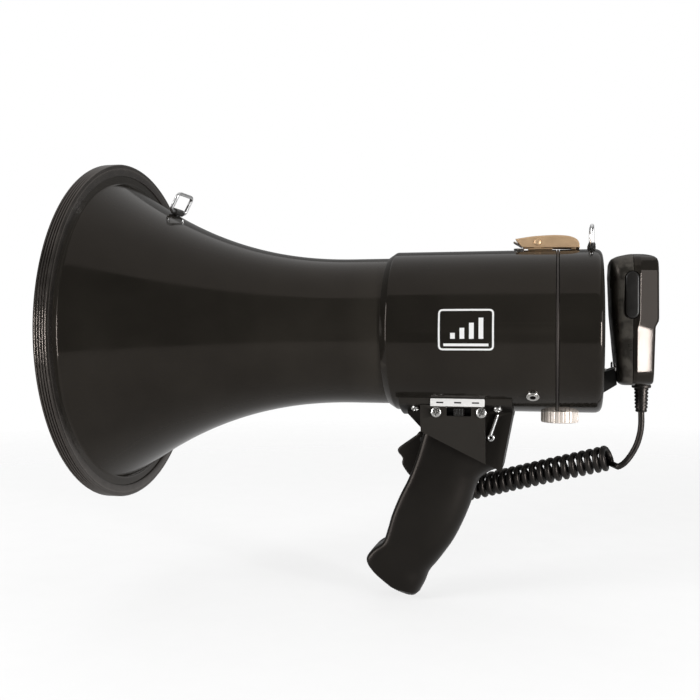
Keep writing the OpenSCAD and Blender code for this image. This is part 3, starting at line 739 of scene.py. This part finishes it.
def add_body():
    """The shell reaches back to the seam, and further only where the knob's boss fills the cap's recess."""
    collar, wall_back = THROAT_R + 0.1, BULKHEAD + 2.5
    shell = rounded([(BODY_FRONT, collar), (BODY_FRONT, THROAT_R + 0.9), (BODY_FRONT + 4.5, BODY_R),
                     (BOSS_REAR, BODY_R), (BOSS_REAR, BODY_IN), (wall_back, BODY_IN), (wall_back, 20),
                     (BULKHEAD, 20), (BULKHEAD, collar)], [0, 0.5, 2.2, 0, 0, 0, 0, 0, 0], 6)
    seam, past, wide = -1, 22, 60
    reach = acos((seam - KNOB_X) / BOSS_R)
    arc = [reach * (1 - 2 * k / 48) for k in range(49)]
    around_boss = [(seam, -wide), (past, -wide), (past, wide), (seam, wide)]
    around_boss += [(KNOB_X + BOSS_R * cos(a), BOSS_R * sin(a)) for a in arc]
    trim_low = Shape().plate(around_boss, -60, 5, edge=0, place=at)
    trim_high = Shape().plate(box_outline(seam, past, -wide, wide), 0, 60, edge=0, place=at)
    cuts = (trim_low, trim_high, knob_cut(KNOB_R + 0.4, KNOB_LOW + KNOB_TALL))
    stand_in("battery_body", Shape().lathe(shell), "body_shell", cuts=cuts)


def add_cap():
    cap = rounded([(1, BODY_R), (CAP_REAR, BODY_R), (CAP_REAR, 0), (CAP_REAR - 2.5, 0),
                   (CAP_REAR - 2.5, BODY_R - 6), (1, BODY_IN)], [0.35, 5, 0, 0, 0, 0], 8)
    stand_in("battery_cap", Shape().lathe(cap), "rear_cap", cuts=(knob_cut(BOSS_R + 0.3),))


def add_cap_seal():
    """The joint ring between the body and the cap, a little proud of both."""
    half = [(0.3, BODY_R + 0.02), (0.6, BODY_R - 0.15), (0.8, BODY_R - 0.7), (0.95, BODY_R - 1.2),
            (0.95, BODY_IN)]
    seal = Shape().lathe([(-x, r) for x, r in half[-2::-1]] + half + [(-0.95, BODY_IN)])
    stand_in("cap_joint_ring", seal, "cap_seal", cuts=(knob_cut(BOSS_R + 0.3),), angle=60)


add_body()
add_cap()
add_cap_seal()


def add_knob(flute_count=24, flute_depth=0.55):
    """The fluted volume knob, with a mark on its face."""
    height, top = KNOB_TALL, KNOB_LOW + KNOB_TALL
    skirt = rounded([(0, 0), (0, KNOB_R), (height, KNOB_R), (height, KNOB_R - 3.2),
                     (height - 0.5, KNOB_R - 3.9), (height - 0.5, 0)], [0, 0.5, 0.9, 0.2, 0.3, 0], 4)

    def flutes(angle, along):
        return -flute_depth * max(0.0, cos(flute_count * angle)) ** 3 * (0.35 < along < height - 0.35)

    dense = []
    for a, b in zip(skirt, skirt[1:] + skirt[:1]):
        count = max(1, int(abs(b[0] - a[0]) / 0.8)) if min(a[1], b[1]) > KNOB_R - 1 else 1
        dense += [(a[0] + (b[0] - a[0]) * k / count, a[1] + (b[1] - a[1]) * k / count) for k in range(count)]
    knob = Shape().lathe(dense, at(KNOB_X, 0, top), (0, 0, -1), steps=288, ripple=flutes)
    mark = rounded(box_outline(-0.45, 0.45, KNOB_R - 7.5, KNOB_R - 4.1), 0.3)
    knob.plate(mark, height - 0.6, height - 0.3, 0.1, place=lambda x, y, z: at(KNOB_X + x, -y, top - z))
    stand_in("volume_knob_cap", knob, "volume_knob")


def outwards(degrees):
    """A direction square to the horn axis: 0 is up and 90 towards the near side."""
    angle = radians(degrees)
    return Vector((0, -sin(angle), cos(angle)))


def add_jack():
    """The knurled nut of the jack, which looks out and down on the near side."""
    nut = rounded([(BODY_R - 0.3, 3.05), (BODY_R - 0.3, 4.0), (BODY_R + 1.6, 4.0), (BODY_R + 1.6, 3.05)],
                  [0, 0, 0.5, 0.25], 4)

    def knurl(a, along):
        return -0.12 * max(0.0, cos(18 * a)) ** 2 * (along < BODY_R + 1.1)

    turned = Shape().lathe(nut, at(-14.4), outwards(139), steps=144, ripple=knurl)
    stand_in("jack_nut", turned, "aux_jack_nut")


add_knob()
add_jack()


# ---- Screws with cross recesses ----
# (x, z) of the grip's screws and (y, z) of the microphone's, and the planes that their heads sit on
GRIP_SCREWS = ((-60, -97), (-72, -124), (-98, -158))
GRIP_SCREW_Y = GRIP_Y - 1.6
MIC_SCREWS = ((-18, 28), (18, 28), (-18, -22), (18, -22))
MIC_SCREW_X = 34.6


def screw_head(shape, centre, out, radius, height, turn):
    """A pan head on a surface at centre, with a cross recess, facing out."""
    out = Vector(out).normalized()
    side = out.orthogonal().normalized()
    side = side * cos(turn) + out.cross(side) * sin(turn)
    other = out.cross(side)
    around = full_turn(64)
    rows = 14
    rings = [[centre + (side * cos(a) + other * sin(a)) * radius / 1000 for a in around]]
    for i in range(rows + 1):
        share = 1 - i / rows
        r = radius * share
        dome = height * (0.45 + 0.55 * sqrt(max(0.0, 1 - share ** 2.6)))
        ring = []
        for a in around:
            u, v = r * cos(a), r * sin(a)
            arm = max(min(abs(u), abs(v)) - 0.15 * radius, max(abs(u), abs(v)) - 0.66 * radius)
            sink = 0.75 * height * min(1.0, max(0.0, -arm / (0.08 * radius)))
            ring.append(centre + (side * u + other * v + out * (dome - sink)) / 1000)
        rings.append(ring)
    shape.rings(rings)


def add_screws():
    saddle = Shape()
    for x in (-87, -36):
        for lean in (-27.5, 27.5):
            out = outwards(180 - lean)
            screw_head(saddle, at(x) + out * (BODY_R + 3) / 1000, out, 2.8, 1.6, turn=0.3 + x)
    stand_in("saddle_screw_heads", saddle, "saddle_screws")
    label = Shape()
    for x in (-73.4, -45.5):
        screw_head(label, at(x, -SADDLE_Y, -50.3), (0, -1, 0), 3.3, 1.8, turn=0.25 + x)
    stand_in("label_screw_heads", label, "label_screws")
    grip = Shape()
    for x, z in GRIP_SCREWS:
        screw_head(grip, at(x, GRIP_SCREW_Y, z), (0, 1, 0), 3, 1.3, turn=x)
    stand_in("grip_screw_heads", grip, "grip_screws")
    mic = Shape()
    for y, z in MIC_SCREWS:
        screw_head(mic, at(MIC_SCREW_X, y, z), (-1, 0, 0), 2.3, 1.2, turn=y + z)
    stand_in("mic_screw_heads", mic, "mic_screws")


add_screws()


# ---- Latch ----
LATCH_X, LATCH_Z = -12.6, BODY_R + 4.6
LEVER_HALF, LEVER_WALL = 8.0, 1.1
LEVER_TOP = [(-26.2, 58.2), (-21, 59), (-14, 59.8), (-3, 60.2), (5, 59.7), (9, 58.7), (11.7, 57.1),
             (12.9, 55), (13.2, 52.6)]
LEVER_UNDER = [(-26.2, 57.8), (-22, 53), (-10, 52.6), (13.3, 52.1)]
LATCH_BEND = [(-27.4, 0.65), (-24.6, 0.62), (-22.4, 0.7), (-21.7, 1.2), (-22.2, 1.9), (-25, 3.8),
              (-27.5, 5.3)]


def add_latch_lever():
    """An arched sheet with sides folded down to its lower line."""
    rings = []
    for x, z in smooth(LEVER_TOP, 6):
        low = min(value_at(LEVER_UNDER, x), z - 0.4)
        bend = min(1.6, (z - low) * 0.8)
        right = [(LEVER_HALF - bend + bend * sin(a), z - bend + bend * cos(a)) for a in quarter_turn(5)]
        right.append((LEVER_HALF, low))
        outer = [(-y, h) for y, h in right[::-1]] + right
        inner = [(copysign(max(0, abs(y) - LEVER_WALL), y), h - LEVER_WALL if h > low else low)
                 for y, h in outer[::-1]]
        rings.append([at(x, y, max(h, low)) for y, h in outer + inner])
    stand_in("latch_rocker", Shape().rings(rings), "latch_lever", angle=40)


def add_latch_rivet():
    rivet = Shape()
    centre, start, head_r = at(LATCH_X, 0, LATCH_Z), LEVER_HALF + 0.05, 2.2
    for side in (-1, 1):
        head = [(start, 0)] + [(start + 0.85 * sin(a), head_r * cos(a)) for a in quarter_turn(6)]
        rivet.lathe(head, centre, (0, side, 0), steps=48)
    rivet.lathe([(-8.1, 0), (-8.1, 1.2), (8.1, 1.2), (8.1, 0)], centre, (0, 1, 0), steps=32)
    stand_in("latch_rivet", rivet, "latch_pin")


def add_latch_wire():
    """Two bent wires under the lever's tail."""
    spring = Shape()
    for y in (-3, 3):
        spring.tube([at(x, y, BODY_R + z) for x, z in smooth(LATCH_BEND, 6)], 0.6)
    wire = stand_in("latch_wire", spring, "latch_spring")
    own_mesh(wire)


add_latch_lever()
add_latch_rivet()
add_latch_wire()


# ---- Strap rings ----
def strap_ring(name, node, height, place):
    """A bent wire loop whose foot turns in its bracket. place(y, h) puts it in the row frame."""
    loop = [place(y, h) for y, h in rounded(box_outline(-12, 12, 0, height), [2.6, 2.6, 3.4, 3.4], 8)]
    dense = []
    for a, b in zip(loop, loop[1:] + loop[:1]):
        count = max(1, round((b - a).length / 0.002))
        dense += [a.lerp(b, k / count) for k in range(count)]
    stand_in(name, Shape().tube(dense, 1.2, sides=16, closed=True), node)


def add_rings(hinge=2.2):
    """One ring leans with the bell's flare and one stands on the cap, each hinged above the surface."""
    lean = radians(28)
    foot_x = -258.5

    def on_bell(y, h):
        return at(foot_x + sin(lean) * (hinge + h), y, flare(foot_x) + cos(lean) * (hinge + h))

    strap_ring("front_ring_wire", "front_strap_ring", 12.8, on_bell)
    strap_ring("rear_ring_wire", "rear_strap_ring", 11.6, lambda y, h: at(20.5, y, BODY_R + hinge + h))


add_rings()


# ---- Label, slide knob and printed marks ----
def add_label():
    """The switch label, with three dashes in place of its words."""
    face = -SADDLE_Y
    plate = Shape().plate(rounded(box_outline(-77, -43.5, -46.6, -41.8), 0.7), face - 0.8, face, 0.15)
    stand_in("switch_label", plate, "switch_label_plate")
    dashes = Shape()
    for x in (-71, -60, -49):
        dash = rounded(box_outline(x - 2.2, x + 2.2, -44.7, -43.8), 0.3)
        dashes.plate(dash, face - 0.86, face - 0.7, 0.02)
    piece("switch_label_marks", dashes, GROOVE)


def add_slide_knob():
    """The slide switch's knob, with three ridges for the finger."""
    slot_x, slot_z = spot("slide_knob")
    outer = [(-3, 5.8), (-3, -1.3)]
    for x in (-2.0, 0.0, 2.0):
        outer += [(x - 0.7, -2.0), (x + 0.7, -2.0), (x + 1.0, -1.45)]
    outer = rounded(outer[:-1] + [(3, -1.3), (3, 5.8)], 0.25, 3)
    knob = Shape().plate(outer, slot_z - 2.2, slot_z + 2.2, 0.25,
                         place=lambda x, y, z: at(slot_x + x, -SADDLE_Y + y, z))
    stand_in("selector_button", knob, "slide_knob")


def on_body(x, z, proud=0.05):
    """A point on the near side of the body at a height z, a little proud of it."""
    a = asin(z / BODY_R)
    r = BODY_R + proud
    return at(x, -r * cos(a), r * sin(a))


def across(start, end):
    """One section of a printed line on the body, from one (x, z) point to another."""
    return [on_body(*start, 0.0), on_body(*start), on_body(*end), on_body(*end, 0.0)]


def add_marks():
    """A plain printed frame with a level meter in it, in place of the siren sign."""
    marks = Shape()
    outer = rounded(box_outline(-69.7, -36.6, -11.5, 13.1), 3, 8)
    inner = inset(outer, 1.1)
    sections = []
    for (a, b), (c, d) in zip(zip(outer, outer[1:] + outer[:1]), zip(inner, inner[1:] + inner[:1])):
        count = max(1, round(dist(a, b) / 1.5))
        for k in range(count):
            t = k / count
            sections.append(across((a[0] + (b[0] - a[0]) * t, a[1] + (b[1] - a[1]) * t),
                                   (c[0] + (d[0] - c[0]) * t, c[1] + (d[1] - c[1]) * t)))
    marks.rings(sections, closed_along=True)
    for i, tall in enumerate((3.5, 6.5, 9.5, 12.5)):
        x = -62.4 + i * 5.6
        marks.rings([across((x, z), (x + 2.8, z)) for z in (-4.6 + tall * k / 8 for k in range(9))])
    marks.rings([across((-66.5, z), (-39.8, z)) for z in (-9.0, -8.2, -7.4)])
    piece("body_print", marks, INK, angle=50)


add_label()
add_slide_knob()
add_marks()


# ---- Grip and trigger ----
def section_ring(front, back, half_width, side, gap=0.1, edge=0.35, steps=26):
    """Half of a rounded section between a front and a back point, on one side of the parting line."""
    front, back = Vector(front), Vector(back)
    centre, arm = (front + back) / 2, (front - back) / 2
    ring = []
    for k in range(steps + 1):
        a = pi * k / steps
        power = 9.0 if k < steps / 2 else 2.3
        u = copysign(abs(cos(a)) ** (2 / power), cos(a))
        v = sin(a) ** (2 / power) if 0 < k < steps else 0.0
        ring.append((centre + arm * u, side * max(gap + edge, half_width * v)))
    lip = 1 - edge / arm.length
    ring = [(centre + arm * lip, side * gap)] + ring + [(centre - arm * lip, side * gap)]
    return [at(p.x, y, p.y) for p, y in ring]


# The grip's side view from the saddle down: its front and back edges, and half its width
FRONTS = [(-83.4, -63.2), (-85.6, -71.5), (-88, -80), (-90.8, -88), (-94, -96), (-99.5, -107),
          (-104.5, -119.3), (-107, -128), (-110.4, -137), (-117.2, -142.2), (-121.2, -148.8),
          (-116.6, -156.6), (-106, -165.6)]
BACKS = [(-34.4, -87.6), (-41, -89.6), (-47.8, -94.2), (-50, -98), (-51.5, -102), (-55.3, -113.5),
         (-60.2, -125.2), (-65.2, -135), (-69.6, -141.7), (-75.4, -149.6), (-81.1, -156.7),
         (-84.2, -164), (-87.4, -170.2)]
WIDTHS = [17] * 11 + [16.6, 14.6]
TIPS = [((-102.6, -168.1), (-89.6, -172.2), 11.6), ((-99, -170.4), (-92.8, -172.8), 6.5)]
TRIGGER_ROOM = [(-102, -58), (-80, -62), (-76, -76), (-80, -90), (-86, -97.5), (-112, -97.5), (-112, -58)]
TRIGGER = [(-87.2, -65.4), (-89.4, -67.6), (-95.3, -71.9), (-100.8, -76), (-101.2, -79), (-98.4, -82.6),
           (-98.6, -86.5), (-95.9, -91.2), (-92.5, -94.6), (-88.6, -93.6), (-84.6, -88), (-82, -78),
           (-81.8, -70), (-83.6, -66.2)]


def add_grip():
    """Two shells with room for the trigger, and screw wells in the far one."""
    stations = smooth([(*f, *b, w) for f, b, w in zip(FRONTS, BACKS, WIDTHS)], 6)
    stations += [(*f, *b, w) for f, b, w in TIPS]
    room = Shape().plate(rounded(TRIGGER_ROOM, 2), -8.4, 8.4, edge=0)
    well = [(GRIP_SCREW_Y, 0), (GRIP_SCREW_Y, 3.4), (GRIP_Y + 3, 3.4), (GRIP_Y + 3, 0)]
    wells = [Shape().lathe(well, at(x, 0, z), (0, 1, 0), steps=40) for x, z in GRIP_SCREWS]
    for name, node, side, cuts in (("grip_half_near", "grip_near_shell", -1, [room]),
                                   ("grip_half_far", "grip_far_shell", 1, [room, *wells])):
        rings = [section_ring(s[0:2], s[2:4], s[4], side) for s in stations]
        stand_in(name, Shape().rings(rings), node, cuts=cuts, angle=38)


def add_trigger():
    blade = Shape().plate(smooth(TRIGGER, 6, closed=True), -8, 8, 1.5, steps=6)
    stand_in("trigger_lever_blade", blade, "trigger", angle=50)


def add_trigger_pin():
    pin_x, pin_z = spot("trigger_pin")
    pin = rounded([(-9, 0), (-9, 1.5), (9, 1.5), (9, 0)], [0, 0.3, 0.3, 0])
    stand_in("trigger_pivot", Shape().lathe(pin, at(pin_x, 0, pin_z), (0, 1, 0), steps=40), "trigger_pin",
             finish=FINISH["trim_plastic"])


def add_trigger_spring(turns=5, wire_r=0.35):
    """A coil behind the trigger."""
    front, rear = (mm(edge, SEAM) for edge in span("trigger_spring", 0))
    z = spot("trigger_spring")[1]
    coil_r = 2 - wire_r
    path = []
    for k in range(turns * 16 + 1):
        a = 2 * pi * k / 16
        x = front + wire_r + (rear - front - 2 * wire_r) * k / (turns * 16)
        path.append(at(x, coil_r * cos(a), z + coil_r * sin(a)))
    spring = stand_in("trigger_coil", Shape().tube(path, wire_r, sides=8), "trigger_spring")
    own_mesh(spring)


add_grip()
add_trigger()
add_trigger_pin()
add_trigger_spring()


# ---- Fist microphone ----
MIC_TOP, MIC_LOW = 46.8, -33.0
MIC_TOP_CORNER, MIC_LOW_CORNER = 13, 10

# Its back and front lines seen from the side, as (height, x) points from the handle up
MIC_BACK = [(-33, 36.1), (-15, 34), (10, 31.6), (34, 30.6), (42, 30.9), (43.8, 31.6), (45.2, 34), (46.8, 40)]
MIC_FRONT = [(-33, 56.4), (1.6, 57.2), (2.6, 57.4), (6.0, 59.2), (7.5, 59.4), (41.6, 58.9), (43.8, 58.2),
             (45.4, 56.6), (46.8, 53)]


def mic_half_width(z):
    """Sides that draw in a little towards the handle, with a round corner at each end."""
    above, below = z - (MIC_TOP - MIC_TOP_CORNER), MIC_LOW + MIC_LOW_CORNER - z
    if above > 0:
        return MIC_Y - MIC_TOP_CORNER + sqrt(max(0.0, MIC_TOP_CORNER ** 2 - above ** 2))
    if below > 0:
        return MIC_Y - 2 - MIC_LOW_CORNER + sqrt(max(0.0, MIC_LOW_CORNER ** 2 - below ** 2))
    return MIC_Y + 2 * above / 56


def mic_back_section(depth, width):
    """(depth, sideways) points of the back half at one height: a squared round."""
    made = []
    for k in range(41):
        a = -pi / 2 + pi * k / 40
        made.append((depth * abs(cos(a)) ** 0.4, width * copysign(abs(sin(a)) ** 0.4, a)))
    return made


def mic_front_section(depth, width, upper):
    """(depth, sideways) points of the front half at one height: slanted flats beside the face.

    upper runs from 0 at the handle to 1 at the head, where the flats slant more.
    """
    flat = min(2.2 + 1.6 * upper, depth * 0.5)
    face = width - (depth - flat) * (0.42 + 0.18 * upper)
    side = [(0.3, width), (flat, width), (depth, face)]
    corners = [(d, -w) for d, w in side] + [(d, w) for d, w in side[::-1]]
    return rounded(corners, [0, 2.2, 3, 3, 2.2, 0], 8)


def pulled_in(edge, depth):
    """How far a round edge draws a surface in, at a depth into the edge."""
    return edge - sqrt(max(0.0, edge ** 2 - max(0.0, depth) ** 2))


def mic_shell(side_line, towards, low_edge=2.6, top_edge=3.0):
    """One half of the microphone, lofted upwards, its edges rounded over at both ends."""
    low, high = MIC_LOW + low_edge, MIC_TOP - top_edge
    heights = [low - low_edge * cos(a) for a in quarter_turn(6)]
    heights += [low + (high - low) * k / 74 for k in range(1, 74)]
    heights += [high + top_edge * sin(a) for a in quarter_turn(7)]
    rings = []
    for z in heights:
        pull = pulled_in(low_edge, low - z) + pulled_in(top_edge, z - high)
        depth = abs(value_at(side_line, z) - MIC_SPLIT) - pull
        width = mic_half_width(z) - pull
        if towards < 0:
            section = mic_back_section(depth, width)
        else:
            section = mic_front_section(depth, width, min(1.0, max(0.0, (z - 1) / 6)))
        ring = [at(MIC_SPLIT + towards * max(0.3, d), w, z) for d, w in section]
        parting_x, edge = MIC_SPLIT + towards * 0.08, width - 0.35
        rings.append([at(parting_x, -edge, z)] + ring + [at(parting_x, edge, z)])
    return Shape().rings(rings)


BUTTON_X, BUTTON_Z = MIC_SPLIT - 0.8, 21.5


def add_mic_shells():
    """Both halves, with the button's opening, the sound slots and the screw wells cut out."""
    button_hole = moved(stadium(28.7, 8.7), BUTTON_X, BUTTON_Z)
    opening = Shape().plate(button_hole, -MIC_Y - 2, -MIC_Y + 3.4, edge=0)
    slots = []
    for z in range(14, 35, 5):
        slot = rounded(box_outline(-14, 14, z - 0.9, z + 0.9), 0.8)
        slots.append(Shape().plate(slot, 55, 66, edge=0, place=lambda y, h, x: at(x, y, h)))
    well = [(20, 0), (20, 2.6), (MIC_SCREW_X, 2.6), (MIC_SCREW_X, 0)]
    wells = [Shape().lathe(well, at(0, y, z), (1, 0, 0), steps=36) for y, z in MIC_SCREWS]
    # The back half's finish paints pale patches: scuffs and a painted mottled highlight.
    stand_in("mic_back_half", mic_shell(MIC_BACK, -1), "mic_rear_shell", cuts=[opening, *wells], angle=38,
             finish=SCUFF_AND_SHEEN_CASE)
    stand_in("mic_front_half", mic_shell(MIC_FRONT, 1), "mic_front_shell", cuts=[opening, *slots], angle=38)


def add_talk_button():
    outline = moved(stadium(28, 8), BUTTON_X, BUTTON_Z)
    button = Shape().plate(outline, -MIC_Y - 0.6, -MIC_Y + 5, 1.2, steps=6)
    stand_in("mic_side_button", button, "mic_talk_button", angle=50)


def add_strain_relief():
    """A flanged boot with grooves, thinner towards the cord."""
    ribs = []
    for i in range(6):
        z, r = 2.2 + i * 2.2, 4.3 - 0.09 * i
        ribs += [(z, r), (z + 1.3, r), (z + 1.35, r - 0.55), (z + 2.15, r - 0.55)]
    relief = [(0, 0), (0, 5.4), (0.3, 5.8), (1.6, 5.8), (2.0, 5.3)] + ribs + [(16.4, 3.6), (17, 3.0), (17, 0)]
    boot = Shape().lathe(relief, at(51, 0, MIC_LOW - 0.4), (0, 0, -1), steps=64)
    stand_in("mic_strain_boot", boot, "mic_strain_relief", angle=40)


add_mic_shells()
add_talk_button()
add_strain_relief()


def add_gland():
    """The boot that takes the cord into the far side of the grip."""
    x, z = LEAD[-1][0], -78
    ends = at(x, 20, z), at(x, 27.5, z + 0.4), at(x, 27.9, z - 0.5), at(x, 27.5, z - 8)
    bend = interpolate_bezier(*ends, 22)
    radii = [4.5 - 1.6 * max(0, k - 9) / 12 - (0.35 if k > 8 and k % 3 == 0 else 0) for k in range(22)]
    boot = Shape().tube([at(x, 16.4, z)] + bend, [4.5] + radii, sides=32)
    collar = rounded([(16.2, 0), (16.2, 6.2), (18.6, 6.2), (18.6, 0)], [0, 0, 0.8, 0])
    boot.lathe(collar, at(x, 0, z), (0, 1, 0), 48)
    stand_in("grip_cord_boot", boot, "cord_gland", angle=45)


add_gland()


# ---- CAD nodes that stay get softened edges ----
def soften(node, width_mm=0.35):
    """Joins a node's flat faces up and bevels what edges are left, all with modifiers."""
    obj = frame["nodes"][node]
    weld = obj.modifiers.new("weld", "WELD")
    weld.merge_threshold = 1e-6
    flat = obj.modifiers.new("flat", "DECIMATE")
    flat.decimate_type, flat.angle_limit = "DISSOLVE", radians(1)
    bevel = obj.modifiers.new("bevel", "BEVEL")
    bevel.width, bevel.segments, bevel.limit_method = width_mm / 1000, 3, "ANGLE"
    bevel.angle_limit = radians(35)
    normals = obj.modifiers.new("normals", "WEIGHTED_NORMAL")
    normals.keep_sharp = False


for cad_node in ("saddle", "mic_hanger", "latch_base", "latch_keeper"):
    soften(cad_node)


# ---- Floor, light and surroundings ----
def floor_finish(centre):
    """Pale and faintly lit. It thins out with distance and before the camera, and is clear from below."""
    s = Surface("pale_floor", (0.9, 0.9, 0.9), 0.6)
    s.tint(s.spread(s.noise(30), 0.4, 0.7), (0.88, 0.88, 0.88))
    s.vary(s.noise(10), -0.05, 0.1)
    s.set("Emission Color", (1, 1, 1, 1))
    s.set("Emission Strength", 0.42)
    distance = s.node("VectorMath")
    distance.operation = "DISTANCE"
    distance.inputs[1].default_value = centre
    s.link(s.place, distance.inputs[0])
    fade = s.spread(distance.outputs["Value"], 0.5, 1.2, 0.55, 1.0)
    split = s.node("SeparateXYZ")
    s.link(s.place, split.inputs[0])
    front_edge = s.spread(split.outputs["Y"], -0.6, -0.62)
    below = s.node("NewGeometry").outputs["Backfacing"]
    away = s.combine(s.combine(fade, front_edge, "MAXIMUM"), below, "MAXIMUM")
    clear = s.node("BsdfTransparent")
    mix = s.node("MixShader")
    s.link(away, mix.inputs[0])
    s.link(s.shader.outputs[0], mix.inputs[1])
    s.link(clear.outputs[0], mix.inputs[2])
    s.link(mix.outputs[0], s.tree.nodes["Material Output"].inputs["Surface"])
    return s.material


def add_floor(radius=1.25):
    centre = Vector((SEAM - 0.08, 0, FLOOR_Z))
    around = [Vector((cos(a), sin(a), 0)) for a in full_turn(96)]
    rings = [[centre + out * (radius * i / 24) for out in around] for i in range(25)]
    obj = new_object("floor", Shape().rings(rings, caps=False).mesh("floor"))
    if obj.data.polygons[0].normal.z < 0:
        obj.data.flip_normals()
    obj.data.materials.append(floor_finish(centre))


def add_light(name, place, target, width, height, radiance):
    """A white area light aimed at a target. Its brightness doesn't depend on its size."""
    data = bpy.data.lights.new(name, "AREA")
    data.shape, data.size, data.size_y = "RECTANGLE", width, height
    data.energy = pi * width * height * radiance
    light = new_object(name, data)
    light.location = place
    light.rotation_euler = (Vector(target) - Vector(place)).to_track_quat("-Z", "Y").to_euler()


def add_world():
    """White where the camera looks past the object; a dim room, darkest in front, for everything else."""
    world = bpy.data.worlds.new("studio")
    bpy.context.scene.world = world
    world.use_nodes = True
    nodes, link = world.node_tree.nodes, world.node_tree.links.new
    nodes.clear()
    direction = nodes.new("ShaderNodeTexCoord")
    split = nodes.new("ShaderNodeSeparateXYZ")
    link(direction.outputs["Generated"], split.inputs[0])
    shade = nodes.new("ShaderNodeMapRange")
    shade.interpolation_type = "SMOOTHSTEP"
    set_range(shade, -0.6, 0.9, 0.012, 0.3)
    link(split.outputs["Y"], shade.inputs["Value"])
    room = nodes.new("ShaderNodeBackground")
    link(shade.outputs["Result"], room.inputs["Strength"])
    white = nodes.new("ShaderNodeBackground")
    white.inputs["Color"].default_value = (1, 1, 1, 1)
    mix = nodes.new("ShaderNodeMixShader")
    link(nodes.new("ShaderNodeLightPath").outputs["Is Camera Ray"], mix.inputs[0])
    link(room.outputs[0], mix.inputs[1])
    link(white.outputs[0], mix.inputs[2])
    link(mix.outputs[0], nodes.new("ShaderNodeOutputWorld").inputs["Surface"])


add_floor()
add_world()
add_light("overhead", (SEAM - 0.12, 0.28, AXIS + 1.15), (SEAM - 0.12, 0.28, AXIS), 2.0, 2.35, 0.54)
add_light("left_lamp", (SEAM - 1.18, -0.75, AXIS + 0.23), (SEAM - 0.1, 0, AXIS - 0.03), 0.6, 1.0, 7.0)
add_light("right_card", (SEAM + 0.88, -0.37, AXIS + 0.02), (SEAM + 0.05, 0, AXIS), 0.34, 0.6, 2.6)
add_light("right_strip", (SEAM + 0.745, -0.59, AXIS - 0.05), (SEAM + 0.05, 0, AXIS - 0.02), 0.1, 0.42, 60.0)
bpy.context.scene.view_settings.view_transform = "Standard"
